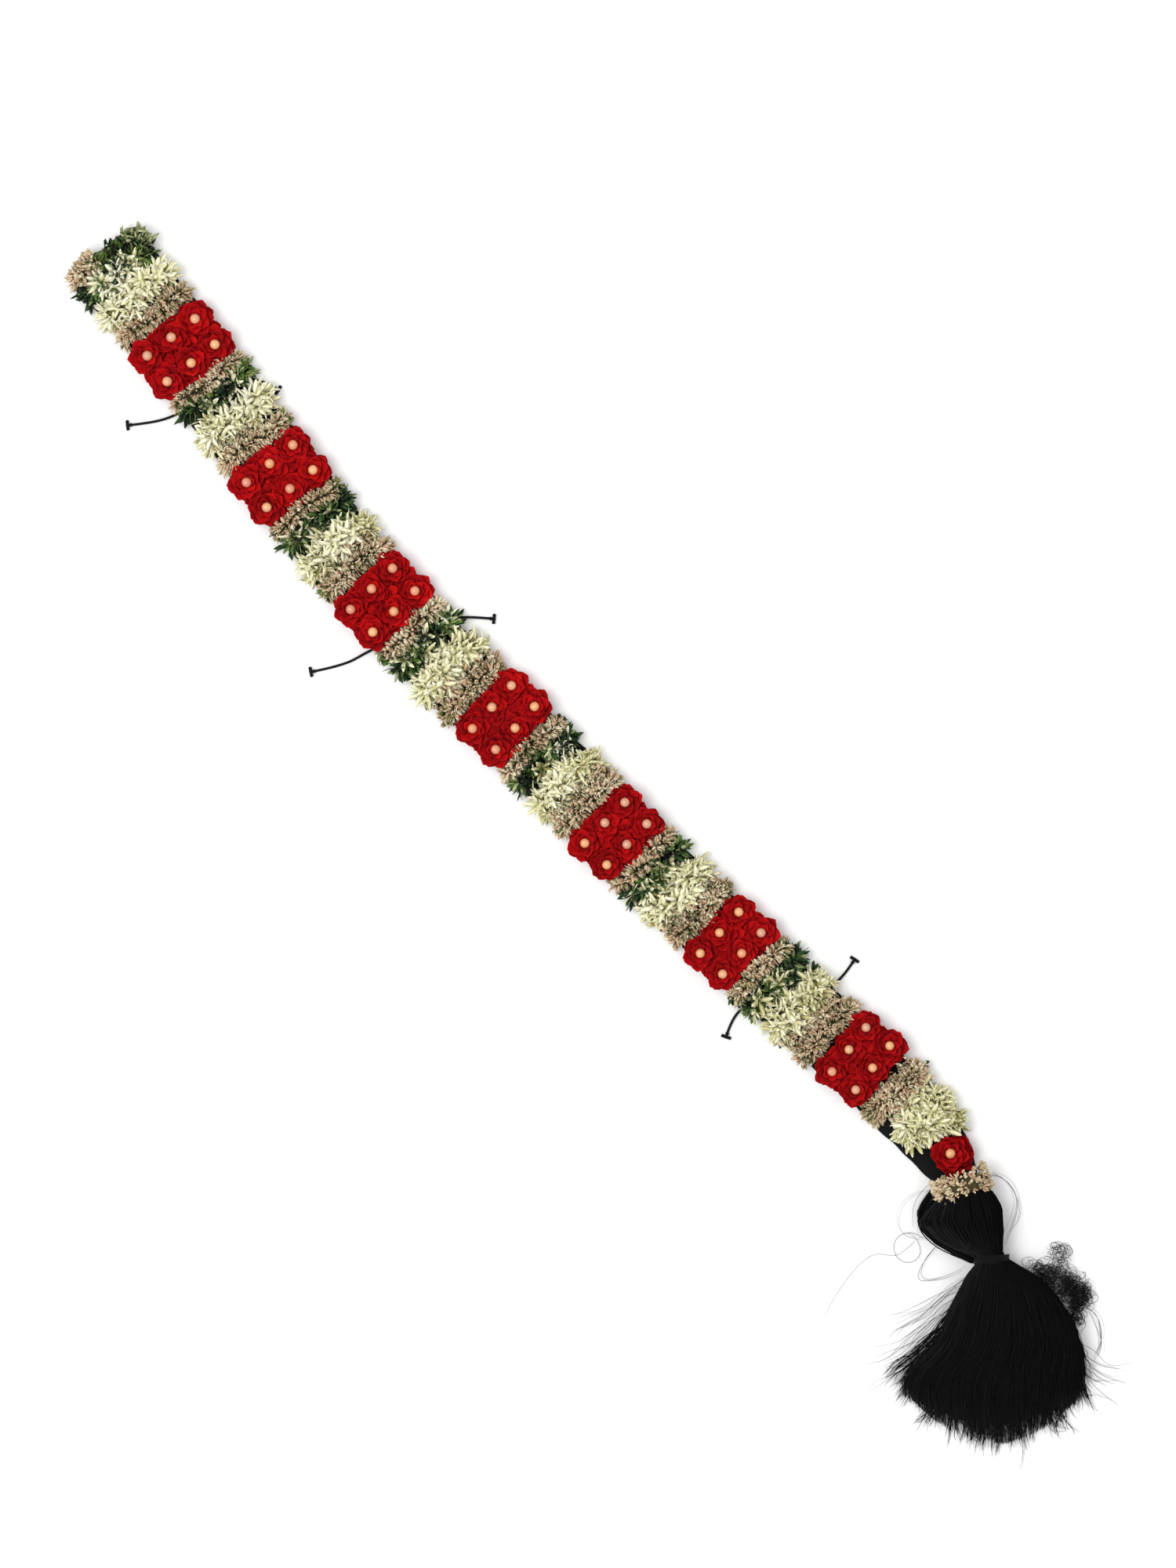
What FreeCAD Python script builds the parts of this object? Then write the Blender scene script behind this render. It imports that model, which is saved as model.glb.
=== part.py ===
import FreeCAD, Part
import math
import os
import Sketcher

# A flower ornament for a hair braid, laid flat with its face up.
# A black cloth strip runs down the braid. Across it lie blocks of six red cloth blossoms with a
# bead in each, and between the blocks rolls of bud garland: tan, green, cream and tan again.
# A last blossom, a tan collar and a black yarn tassel close the lower end.
# Three elastic ties start in channels under the strip and end in small crimped cross bars.
#
# Frame: +Y runs up the strip to its head end, +Z is up, and the strip's underside is at z = 0.
# The origin is on that underside, on the centre line, half way down the strip. Millimetres.

Vector = FreeCAD.Vector
doc = FreeCAD.newDocument("braid_ornament")

# Driving sizes, in millimetres and degrees

SIZES = [
    ("strip_thickness", 3.0),
    ("channel_depth", 2.0),
    ("channel_width", 3.4),
    ("channel_end_gap", 0.15),
    ("seat_gap", 0.2),
    ("taper_share", 0.10),
    ("calyx_height", 5.0),
    ("calyx_foot", 4.0),
    ("cup_foot", 2.6),
    ("cup_wall", 1.0),
    ("outer_belly", 6.4),
    ("outer_belly_height", 3.4),
    ("outer_reach", 10.2),
    ("outer_rim_height", 5.6),
    ("outer_notch", 5.9),
    ("inner_belly", 4.6),
    ("inner_belly_height", 3.6),
    ("inner_reach", 7.6),
    ("inner_rim_height", 8.0),
    ("inner_notch", 4.7),
    ("petal_bulge", 0.5),
    ("petal_count", 6),
    ("bead_diameter", 6.0),
    ("bead_gap", 0.1),
    ("column_gap", 16.8),
    ("row_gap", 18.8),
    ("side_lean", 4.0),
    ("block_margin", 0.5),
    ("garland_gap", 0.4),
    ("cream_height", 17.0),
    ("cream_half_width", 27.0),
    ("green_height", 11.0),
    ("green_half_width", 25.5),
    ("tan_height", 12.5),
    ("tan_half_width", 26.0),
    ("head_overhang", 3.5),
    ("valley_share", 0.70),
    ("lock_valley_share", 0.88),
    ("tassel_turn", -43.0),
    ("tassel_x", 9.3),
    ("tassel_y", -367.2),
    ("yarn_gap", 0.3),
    ("collar_half_length", 5.0),
    ("collar_wall", 1.2),
    ("collar_petal", 2.8),
    ("binding_half_length", 2.0),
    ("binding_wall", 1.2),
    ("binding_ridge", 0.4),
    ("floor_gap", 0.1),
    ("tie_diameter", 1.5),
    ("sleeve_diameter", 2.2),
    ("sleeve_length", 2.6),
    ("bar_diameter", 2.0),
    ("bar_length", 6.0),
]

sheet = doc.addObject("Spreadsheet::Sheet", "sizes")
for number, (alias, value) in enumerate(SIZES, start=1):
    sheet.set(f"A{number}", alias)
    sheet.set(f"B{number}", str(value))
    sheet.setAlias(f"B{number}", alias)
doc.recompute()


def size(alias):
    """The value of a named cell of the sheet."""
    return float(sheet.get(alias))


def table(columns, rows):
    """Rows of numbers under named columns."""
    return [dict(zip(columns.split(), row)) for row in rows]


# The centre line, from the head end down, with the cloth strip's half width
SPINE = table("y x half_width", [
    (360.0, 14.2, 24.5),
    (281.3, 9.7, 23.5),
    (191.3, 1.4, 23.0),
    (87.8, -3.6, 22.5),
    (0.0, 0.0, 22.0),
    (-101.0, 3.6, 21.8),
    (-191.0, 8.8, 21.4),
    (-258.8, 14.2, 21.0),
    (-317.3, 16.6, 20.0),
    (-345.0, 14.6, 17.0),
    (-366.0, 10.6, 11.0),
])

# Each block of six blossoms: the distance of its middle from the head end, its shift and its turn
BLOCKS = table("down side turn", [
    (72.4, -0.8, -0.6),
    (164.0, -0.4, 1.0),
    (256.2, -0.4, 2.2),
    (352.6, 1.1, 2.0),
    (445.0, -0.6, 0.5),
    (535.8, 0.0, 0.0),
    (635.4, 1.6, 5.5),
])
LAST_BLOSSOM = {"down": 709.6, "side": 3.2, "turn": 12.0, "scale": 0.98}

# The garland rolls above the first block and between two blocks, with their share of the stretch
HEAD_ROLLS = [("tan", 0.20), ("green", 0.21), ("cream", 0.41), ("tan", 0.18)]
ROLLS_BETWEEN = [("tan", 0.13), ("green", 0.22), ("cream", 0.47), ("tan", 0.18)]
TAIL_ROLLS = [
    {"kind": "tan", "start": 656.8, "end": 670.8, "half_width": 21.0, "side": 1.5},
    {"kind": "cream", "start": 670.8, "end": 700.8, "half_width": 17.0, "side": 3.8},
]

# How many rows of petals lie across the strip, and how many points make one row's half round
ROLL_NET = {
    "cream": {"rows": 13, "round": 13},
    "green": {"rows": 13, "round": 7},
    "tan": {"rows": 15, "round": 7},
}

# The tassel in its own frame: x to the side, y up the tassel. Its yarn is a row of oval sections,
# with one that stays the same through the collar, and another through the binding
COLUMNS = "side down half_width half_height centre turn"
AT_COLLAR, AT_BINDING = table(COLUMNS, [
    (0.0, 0.0, 12.8, 7.4, 12.9, 19.0),
    (16.9, 41.1, 9.0, 7.8, 10.4, 0.0),
])
BULB = table(COLUMNS, [
    (-0.8, 12.6, 22.0, 12.4, 13.0, 12.0),
    (-0.3, 19.0, 23.0, 14.2, 14.6, 6.0),
    (2.6, 26.0, 20.8, 13.4, 13.9, 0.0),
    (8.2, 34.4, 14.8, 10.4, 11.6, 0.0),
])
SKIRT = table(COLUMNS, [
    (22.0, 49.5, 18.0, 9.6, 10.6, 0.0),
    (24.8, 58.0, 25.5, 11.0, 11.4, 0.0),
    (26.2, 71.0, 33.4, 11.6, 11.8, 0.0),
    (27.0, 84.0, 39.0, 11.4, 11.6, 0.0),
    (24.3, 97.5, 45.0, 10.2, 10.4, 0.0),
    (18.6, 112.0, 50.4, 8.0, 8.2, 0.0),
])
LOCKS = 22
TIPS = {"side": 19.0, "down": 151.0, "half_width": 50.4, "half_height": 4.0, "centre": 4.2}
TIP_ROUNDING = 27.0
TIP_CUT_BACK = 9.0
FRIZZ = {"side": 59.3, "down": 61.5, "half_width": 15.5, "half_length": 10.0, "height": 11.0, "turn": -54.0}

# The elastic ties: each half starts at the stitch in the middle of the strip and lies on the floor
TIES = {
    "head": {
        "left": [(5.6, 256.9), (-8.0, 261.4), (-20.5, 264.2), (-31.0, 269.6), (-40.4, 276.6)],
        "right": [(9.6, 255.5), (22.0, 250.9), (31.2, 246.4), (33.8, 236.4)],
    },
    "middle": {
        "left": [(-4.6, 79.7), (-18.0, 85.1), (-31.0, 89.3), (-45.4, 92.6), (-60.0, 101.6)],
        "right": [(-0.9, 78.2), (11.0, 73.3), (22.4, 68.1), (33.6, 55.4)],
    },
    "tail": {
        "left": [(6.9, -218.3), (-4.0, -211.5), (-16.6, -205.0), (-28.8, -211.5)],
        "right": [(10.4, -220.4), (22.0, -227.6), (35.0, -234.9), (50.6, -231.2)],
    },
}

# Helpers

nodes = []


def node(obj, label):
    """Names an object as one of the ornament's sub-parts."""
    obj.Label = label
    nodes.append(obj)
    return obj


def feature_node(shape, label, placement=None):
    """A sub-part whose shape is set from code."""
    obj = doc.addObject("Part::Feature", label)
    obj.Shape = shape
    if placement:
        obj.Placement = placement
    return node(obj, label)


def ray(length, degrees):
    """A point in the plane at a distance and a direction from the origin."""
    angle = math.radians(degrees)
    return Vector(length * math.cos(angle), length * math.sin(angle), 0)


def unevenness(i, j):
    """A steady value between -1 and 1, different for each petal of a net."""
    golden = 0.6180339887
    return 2.0 * ((i * golden + j * golden * golden * 5.0) % 1.0) - 1.0


def net_solid(rings, ends=None):
    """A closed solid over a net of points.

    Every ring is a closed row of the same number of points. Neighbouring rings are joined by
    triangles, cut so that points whose two numbers add up to an even sum stand out as tips. With two
    end points the first and last rings are closed by fans to them, and without them the last ring
    is joined to the first.
    """
    faces = []

    def triangle(a, b, c):
        if (b - a).cross(c - a).Length > 1e-6:
            faces.append(Part.Face(Part.makePolygon([a, b, c, a])))

    count = len(rings[0])
    pairs = list(zip(rings, rings[1:]))
    if not ends:
        pairs.append((rings[-1], rings[0]))
    for i, (near, far) in enumerate(pairs):
        for j in range(count):
            k = (j + 1) % count
            if (i + j) % 2 == 0:
                triangle(near[j], far[j], near[k])
                triangle(far[j], far[k], near[k])
            else:
                triangle(near[j], far[j], far[k])
                triangle(near[j], far[k], near[k])
    if ends:
        for ring, end in zip((rings[0], rings[-1]), ends):
            for j in range(count):
                triangle(ring[j], ring[(j + 1) % count], end)
    shell = Part.makeShell(faces)
    shell.sewShape()
    solid = Part.makeSolid(shell.Shells[0])
    if solid.Volume < 0:
        solid.reverse()
    return solid


def spine_curve(share=0.0):
    """The strip's centre line, or the line at a share of its half width to one side."""
    curve = Part.BSplineCurve()
    curve.interpolate([Vector(row["x"] + share * row["half_width"], row["y"], 0) for row in SPINE])
    return curve


SPINE_CURVE = spine_curve()


def on_spine(down, side=0.0, height=0.0, turn=0.0):
    """The placement at a distance from the head end, with its x across the strip.

    Above the head end and below the tail end the line goes on straight.
    """
    inside = min(max(down, 0.0), SPINE_CURVE.length())
    at = SPINE_CURVE.parameterAtDistance(inside, SPINE_CURVE.FirstParameter)
    along = Vector(*SPINE_CURVE.tangent(at)[0])
    along.normalize()
    across = Vector(-along.y, along.x, 0)
    heading = math.degrees(math.atan2(across.y, across.x))
    base = SPINE_CURVE.value(at) + along * (down - inside) + across * side + Vector(0, 0, height)
    return FreeCAD.Placement(base, FreeCAD.Rotation(Vector(0, 0, 1), heading + turn))


def taper(down):
    """How much smaller everything is at a distance from the head end."""
    return 1.0 - size("taper_share") * max(down, 0.0) / SPINE_CURVE.length()


def sketch_on(body, role, name):
    """A sketch on one of the body's own origin planes, such as XY_Plane."""
    sketch = body.newObject("Sketcher::SketchObject", name)
    plane = next(part for part in body.Origin.OriginFeatures if part.Role == role)
    sketch.AttachmentSupport = (plane, [""])
    sketch.MapMode = "FlatFace"
    return sketch


# The cloth strip, with a channel under it for each half of a tie


def channel_sides(start, end):
    """The four sides of a channel, from just inside its start to its end."""
    way = (end - start).normalize()
    half = Vector(-way.y, way.x, 0) * (size("channel_width") / 2)
    inner = start - way * size("channel_end_gap")
    corners = [inner + half, end + half, end - half, inner - half]
    return [Part.LineSegment(corners[i], corners[(i + 1) % 4]) for i in range(4)]


def make_strip():
    body = doc.addObject("PartDesign::Body", "backing_strip")
    outline = sketch_on(body, "XY_Plane", "strip_outline")
    left, right = spine_curve(-1.0), spine_curve(1.0)
    outline.addGeometry([
        left,
        Part.LineSegment(left.EndPoint, right.EndPoint),
        right,
        Part.LineSegment(right.StartPoint, left.StartPoint),
    ])
    pad = body.newObject("PartDesign::Pad", "strip_pad")
    pad.Profile = outline
    pad.setExpression("Length", "sizes.strip_thickness")
    doc.recompute()
    whole = pad.Shape.Volume
    channels = sketch_on(body, "XY_Plane", "tie_channels")
    for tie in TIES.values():
        for half in tie.values():
            stitch, outside = Vector(*half[0], 0), Vector(*half[2], 0)
            channels.addGeometry(channel_sides(stitch, outside))
    pocket = body.newObject("PartDesign::Pocket", "channel_pocket")
    pocket.Profile = channels
    pocket.Reversed = True
    pocket.setExpression("Length", "sizes.channel_depth")
    doc.recompute()
    print("strip volume", round(whole), "channels", round(whole - pocket.Shape.Volume))
    node(body, "backing_strip")


# One blossom: two cups of cloth cut into six pointed petals, on a cone of a calyx


def star_edges(reach, notch, turn):
    """The outline of the petals: an arc from each notch to the next tip, and one back."""
    petals = int(size("petal_count"))
    edges = []
    for petal in range(petals):
        middle = turn + petal * 360.0 / petals
        tip = ray(reach, middle)
        for side in (-1, 1):
            valley = ray(notch, middle + side * 180.0 / petals)
            chord = tip - valley
            outward = Vector(chord.y, -chord.x, 0).normalize() * -side
            bulge = (tip + valley) * 0.5 + outward * size("petal_bulge")
            first, last = (valley, tip) if side < 0 else (tip, valley)
            edges.append(Part.Arc(first, bulge, last))
    return edges


def cup_body(layer, turn):
    """A flaring cup turned round Z and cut to a star. Its sizes are the cells of its layer."""
    body = doc.addObject("PartDesign::Body", f"{layer}_cup")
    profile = sketch_on(body, "XZ_Plane", f"{layer}_profile")
    wall = "sizes.cup_wall"
    belly, belly_z = f"sizes.{layer}_belly", f"sizes.{layer}_belly_height"
    rim, rim_z = f"sizes.{layer}_reach", f"sizes.{layer}_rim_height"
    corners = [
        ("sizes.cup_foot", None),
        (belly, belly_z),
        (rim, rim_z),
        (rim, f"{rim_z} + {wall}"),
        (belly, f"{belly_z} + {wall}"),
        ("sizes.cup_foot", wall),
        (None, wall),
        (None, None),
    ]

    def value(words):
        return sum(size(cell.replace("sizes.", "")) for cell in words.split(" + ")) if words else 0.0

    points = [Vector(value(x), value(z), 0) for x, z in corners]
    count = len(points)
    profile.addGeometry([Part.LineSegment(points[i], points[(i + 1) % count]) for i in range(count)])
    for i in range(count):
        profile.addConstraint(Sketcher.Constraint("Coincident", i, 2, (i + 1) % count, 1))
    profile.addConstraint(Sketcher.Constraint("Coincident", count - 1, 1, -1, 1))
    for i, (x, z) in enumerate(corners[:-1]):
        for kind, words, axis in (("DistanceX", x, -2), ("DistanceY", z, -1)):
            if words:
                index = profile.addConstraint(Sketcher.Constraint(kind, -1, 1, i, 1, value(words)))
                profile.setExpression(f"Constraints[{index}]", words)
            else:
                profile.addConstraint(Sketcher.Constraint("PointOnObject", i, 1, axis))
    cup = body.newObject("PartDesign::Revolution", f"{layer}_revolution")
    cup.Profile = profile
    cup.ReferenceAxis = (profile, ["V_Axis"])
    cup.Angle = 360
    doc.recompute()
    whole = cup.Shape.Volume
    star = sketch_on(body, "XY_Plane", f"{layer}_star")
    star.addGeometry(star_edges(size(f"{layer}_reach"), size(f"{layer}_notch"), turn))
    star.addGeometry(Part.Circle(Vector(0, 0, 0), Vector(0, 0, 1), 1.2 * size(f"{layer}_reach")))
    pocket = body.newObject("PartDesign::Pocket", f"{layer}_star_pocket")
    pocket.Profile = star
    pocket.Type = "ThroughAll"
    pocket.Reversed = True
    doc.recompute()
    print(f"{layer} cup volume", round(whole, 1), "as a star", round(pocket.Shape.Volume, 1))
    return body


def make_blossom():
    """The master blossom and its bead, with the blossom's foot at the origin."""
    half_petal = 180.0 / size("petal_count")
    cups = [cup_body("outer", 0.0), cup_body("inner", half_petal)]
    for cup in cups:
        cup.setExpression("Placement.Base.z", "sizes.calyx_height")
    calyx = doc.addObject("Part::Cone", "calyx")
    calyx.setExpression("Radius1", "sizes.calyx_foot")
    calyx.setExpression("Radius2", "sizes.cup_foot")
    calyx.setExpression("Height", "sizes.calyx_height")
    blossom = doc.addObject("Part::MultiFuse", "blossom")
    blossom.Shapes = [*cups, calyx]
    bead = doc.addObject("Part::Sphere", "bead")
    bead.setExpression("Radius", "sizes.bead_diameter / 2")
    bead.setExpression(
        "Placement.Base.z",
        "sizes.calyx_height + sizes.cup_wall + sizes.bead_gap + sizes.bead_diameter / 2",
    )
    doc.recompute()
    return blossom, bead


def placed(shape, scale, placement):
    """A scaled copy of a shape, moved to a placement."""
    copy = shape.copy()
    copy.scale(scale, Vector(0, 0, 0))
    copy.Placement = placement.multiply(copy.Placement)
    return copy


def block_places(block, scale):
    """Where a block's blossoms stand.

    Neighbours are turned by half a petal, so that they mesh, and the outer ones lean outwards.
    """
    half_petal = 180.0 / size("petal_count")
    middle = on_spine(block["down"], block["side"], SEAT, block["turn"])
    places = []
    for row in (0, 1):
        for column in (-1, 0, 1):
            lean = column * size("side_lean")
            spot = Vector(
                column * size("column_gap") * scale,
                (0.5 - row) * size("row_gap") * scale,
                size("calyx_foot") * scale * math.sin(math.radians(abs(lean))),
            )
            tilt = FreeCAD.Rotation(Vector(0, 1, 0), lean)
            spin = FreeCAD.Rotation(Vector(0, 0, 1), half_petal * ((column + row) % 2))
            places.append(middle.multiply(FreeCAD.Placement(spot, tilt.multiply(spin))))
    return places


def make_blossoms():
    blossom, bead = make_blossom()
    for number, block in enumerate(BLOCKS, start=1):
        scale = taper(block["down"])
        places = block_places(block, scale)
        for master, label in ((blossom, "red_blossoms"), (bead, "blossom_beads")):
            copies = [placed(master.Shape, scale, place) for place in places]
            feature_node(Part.makeCompound(copies), f"{label}_{number}")
    place = on_spine(LAST_BLOSSOM["down"], LAST_BLOSSOM["side"], SEAT, LAST_BLOSSOM["turn"])
    feature_node(placed(blossom.Shape, LAST_BLOSSOM["scale"], place), "red_blossom_last")
    feature_node(placed(bead.Shape, LAST_BLOSSOM["scale"], place), "blossom_bead_last")


# The bud garlands: rolls across the strip, with petals all over


def roll_solid(kind, half_width, half_length, height):
    """A half-round roll with its flat side down at z = 0 and its petals out to the given sizes."""
    net = ROLL_NET[kind]
    valley = size("valley_share")
    outermost, splay, spread = 0.94, 0.06, 0.06
    rings = []
    for i in range(net["rows"]):
        across = outermost * (2.0 * i / (net["rows"] - 1) - 1.0)
        fullness = math.sqrt(1.0 - across ** 4)
        ring = []
        for j in range(net["round"]):
            angle = math.pi * j / (net["round"] - 1)
            out = 1.0 if (i + j) % 2 == 0 else valley
            out *= fullness * (1.0 - spread + spread * unevenness(i, j))
            lean = across * splay * half_width * (out - valley * fullness)
            rise = height * out * math.sin(angle) if 0 < j < net["round"] - 1 else 0.0
            ring.append(Vector(across * half_width + lean, -math.cos(angle) * half_length * out, rise))
        rings.append(ring)
    ends = [Vector(side * half_width, 0, 0.3 * height) for side in (-1, 1)]
    return net_solid(rings, ends)


def block_half_length(block):
    """Half the length that a block takes up along the strip, with its turn and a margin."""
    corner = size("column_gap") * math.sin(math.radians(abs(block["turn"])))
    straight = size("row_gap") / 2 + size("outer_reach")
    return (straight + corner) * taper(block["down"]) + size("block_margin")


def all_rolls():
    """A row for each roll of garland, from the head end down."""
    starts = [-size("head_overhang")] + [b["down"] + block_half_length(b) for b in BLOCKS[:-1]]
    ends = [b["down"] - block_half_length(b) for b in BLOCKS]
    rows = []
    for number, (start, end) in enumerate(zip(starts, ends)):
        length = end - start
        for kind, share in ROLLS_BETWEEN if number else HEAD_ROLLS:
            stop = start + share * length
            width = size(f"{kind}_half_width") * taper(start)
            rows.append({"kind": kind, "start": start, "end": stop, "half_width": width, "side": 0.0})
            start = stop
    return rows + TAIL_ROLLS


def make_garlands():
    numbers = dict.fromkeys(ROLL_NET, 0)
    for row in all_rolls():
        kind = row["kind"]
        numbers[kind] += 1
        middle = (row["start"] + row["end"]) / 2
        half_length = (row["end"] - row["start"] - size("garland_gap")) / 2
        height = size(f"{kind}_height") * taper(middle)
        shape = roll_solid(kind, row["half_width"], half_length, height)
        feature_node(shape, f"{kind}_garland_{numbers[kind]}", on_spine(middle, row["side"], SEAT))


# The tassel: yarn in locks, a bud collar round its top, a thread binding and a frizzy lock


def in_section(row, sideways, up, along=0.0):
    """A point of an oval section, which is turned in the plane, and a shift along its own axis."""
    turn = math.radians(row["turn"])
    return Vector(
        row["side"] + sideways * math.cos(turn) - along * math.sin(turn),
        -row["down"] + sideways * math.sin(turn) + along * math.cos(turn),
        row["centre"] + up,
    )


def yarn_ring(row, along=0.0):
    """One section of the yarn, with a ridge for each lock."""
    ring = []
    for j in range(2 * LOCKS):
        angle = math.pi * j / LOCKS
        out = 1.0 if j % 2 == 0 else size("lock_valley_share")
        sideways = row["half_width"] * out * math.cos(angle)
        ring.append(in_section(row, sideways, row["half_height"] * out * math.sin(angle), along))
    return ring


def banded_rings(row, half_length):
    """Two equal sections of the yarn, just past both edges of the band that goes round it."""
    reach = half_length + size("yarn_gap")
    return [yarn_ring(row, reach), yarn_ring(row, -reach)]


def tip_ring():
    """The last section: every lock ends in a point, and the ends follow a round cut."""
    ring = []
    for j in range(2 * LOCKS):
        angle = math.pi * j / LOCKS
        valley = j % 2
        rounding = TIP_ROUNDING * abs(math.cos(angle)) ** 1.2
        cut_back = TIP_CUT_BACK * (valley + 0.3 + 0.3 * unevenness(j, 3))
        ring.append(Vector(
            TIPS["side"] + TIPS["half_width"] * math.cos(angle),
            rounding + cut_back - TIPS["down"],
            TIPS["centre"] + TIPS["half_height"] * math.sin(angle) * (1.0 - 0.3 * valley),
        ))
    return ring


def band_solid(row, half_length, stations, lowest, outline):
    """A band round an oval section of the yarn, with nothing under the lowest height.

    The outline gives, for one station round the band, its corners as shares of the half length
    along the tassel and heights above the yarn.
    """
    rings = []
    for i in range(stations):
        angle = 2 * math.pi * i / stations
        x, z = math.cos(angle), math.sin(angle)
        out = Vector(x / row["half_width"], z / row["half_height"], 0).normalize()
        ring = []
        for along, reach in outline(i):
            sideways = row["half_width"] * x + out.x * reach
            up = max(row["half_height"] * z + out.y * reach, lowest - row["centre"])
            ring.append(in_section(row, sideways, up, along * half_length))
        rings.append(ring)
    return net_solid(rings)


def make_tassel():
    place = FreeCAD.Placement(
        Vector(size("tassel_x"), size("tassel_y"), 0),
        FreeCAD.Rotation(Vector(0, 0, 1), size("tassel_turn")),
    )
    gap = size("yarn_gap")
    rings = banded_rings(AT_COLLAR, size("collar_half_length")) + [yarn_ring(row) for row in BULB]
    rings += banded_rings(AT_BINDING, size("binding_half_length")) + [yarn_ring(row) for row in SKIRT]
    rings.append(tip_ring())
    top = in_section(AT_COLLAR, 0.0, 0.0, size("collar_half_length") + 1.0)
    bottom = Vector(TIPS["side"], 2.2 * TIP_CUT_BACK - TIPS["down"], TIPS["centre"])
    feature_node(net_solid(rings, [top, bottom]), "tassel_yarn", place)

    def collar_outline(i):
        rise = [size("collar_petal") * (1.0 if (i + j) % 2 == 0 else 0.2) for j in range(2, 7)]
        outside = [(0.5 * j - 1.0, gap + size("collar_wall") + out) for j, out in enumerate(rise)]
        return [(-0.9, gap)] + outside + [(0.9, gap)]

    def binding_outline(i):
        wall = gap + size("binding_wall")
        return [(-1.0, gap), (-1.0, wall), (0.0, wall + size("binding_ridge")), (1.0, wall), (1.0, gap)]

    half_length = size("collar_half_length")
    collar = band_solid(AT_COLLAR, half_length, 26, SEAT + size("floor_gap"), collar_outline)
    feature_node(collar, "tassel_collar", place)
    half_length = size("binding_half_length")
    binding = band_solid(AT_BINDING, half_length, 24, size("floor_gap"), binding_outline)
    feature_node(binding, "tassel_binding", place)

    frizz = roll_solid("green", FRIZZ["half_width"], FRIZZ["half_length"], FRIZZ["height"])
    spot = Vector(FRIZZ["side"], -FRIZZ["down"], size("floor_gap"))
    turned = FreeCAD.Placement(spot, FreeCAD.Rotation(Vector(0, 0, 1), FRIZZ["turn"]))
    feature_node(frizz, "tassel_frizz", place.multiply(turned))


# The ties: elastic cord and crimped cross bars


def cord_solid(route):
    """A round cord along straight runs joined by tangent arcs. Prints the radii of its arcs."""
    height = size("floor_gap") + size("tie_diameter") / 2
    points = [Vector(x, y, height) for x, y in route]
    edges, radii = [], []
    start = points[0]
    for before, corner, after in zip(points, points[1:], points[2:]):
        into = (corner - before).normalize()
        out = (after - corner).normalize()
        cut = 0.45 * min(corner.distanceToPoint(before), corner.distanceToPoint(after))
        radius = cut / math.tan(into.getAngle(out) / 2)
        first, last = corner - into * cut, corner + out * cut
        inward = ((first + last) * 0.5 - corner).normalize()
        middle = corner + inward * (math.hypot(cut, radius) - radius)
        edges += [Part.makeLine(start, first), Part.Arc(first, middle, last).toShape()]
        radii.append(round(radius, 1))
        start = last
    edges.append(Part.makeLine(start, points[-1]))
    path = Part.Wire(edges)
    radius = size("tie_diameter") / 2
    section = Part.Wire(Part.makeCircle(radius, points[0], points[1] - points[0]))
    solid = path.makePipeShell([section], True, True)
    share = solid.Volume / (math.pi * radius ** 2 * path.Length)
    print("tie length", round(path.Length, 1), "radii", radii, "volume", round(share, 3))
    return solid


def rod(name, diameter, length, base, way):
    """A round bar from a point along a direction, sized by two cells."""
    bar = doc.addObject("Part::Cylinder", name)
    bar.setExpression("Radius", f"sizes.{diameter} / 2")
    bar.setExpression("Height", f"sizes.{length}")
    bar.Placement = FreeCAD.Placement(base, FreeCAD.Rotation(Vector(0, 0, 1), way))
    return bar


def cross_bar(name, before, end):
    """The crimped end of a tie: a sleeve where the cord ends, and a bar across it."""
    before, end = (Vector(x, y, 0) for x, y in (before, end))
    way = (end - before).normalize()
    across = Vector(-way.y, way.x, 0)
    base = end + Vector(0, 0, size("floor_gap") + size("sleeve_diameter") / 2)
    middle = base + way * size("sleeve_length")
    half = across * (size("bar_length") / 2)
    fused = doc.addObject("Part::Fuse", name)
    fused.Base = rod(f"{name}_sleeve", "sleeve_diameter", "sleeve_length", base, way)
    fused.Tool = rod(f"{name}_rod", "bar_diameter", "bar_length", middle - half, across)
    return fused


def make_ties():
    for name, tie in TIES.items():
        cords = [cord_solid(route) for route in tie.values()]
        feature_node(Part.makeCompound(cords), f"tie_cord_{name}")
        bars = doc.addObject("Part::Compound", f"tie_bars_{name}")
        bars.Links = [cross_bar(f"bar_{name}_{side}", *route[-2:]) for side, route in tie.items()]
        node(bars, f"tie_bars_{name}")


# Build, check and export

SEAT = size("strip_thickness") + size("seat_gap")

make_strip()
make_blossoms()
make_garlands()
make_tassel()
make_ties()
doc.recompute()

for obj in doc.Objects:
    if {"Invalid", "Error"} & set(obj.State):
        raise RuntimeError(f"{obj.Label} is {obj.State}")
for obj in nodes:
    if obj.Shape.isNull() or not obj.Shape.isValid() or obj.Shape.Volume <= 0:
        raise RuntimeError(f"{obj.Label} has no valid solid")

os.makedirs("parts", exist_ok=True)
for obj in nodes:
    obj.Shape.exportStep(os.path.join("parts", f"{obj.Label}.step"))
solids = sum(len(obj.Shape.Solids) for obj in nodes)
volume = sum(obj.Shape.Volume for obj in nodes)
print(len(nodes), "nodes,", solids, "solids,", round(volume / 1000), "cubic centimetres")
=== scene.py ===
# %% [markdown]
# # A flower ornament for a braid
# This lesson dresses a long flower ornament that is tied down a hair braid. A black cloth strip
# carries rolls of cream, tan and green petals, blocks of red cloth blossoms with a pearly bead in
# each, three elastic ties, and a tassel of black yarn at its tail.
# The measured frame is loaded first. Everything made here sits on it, in metres, so no piece has to
# be fitted by eye.

# %% Load the frame
import math

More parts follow.
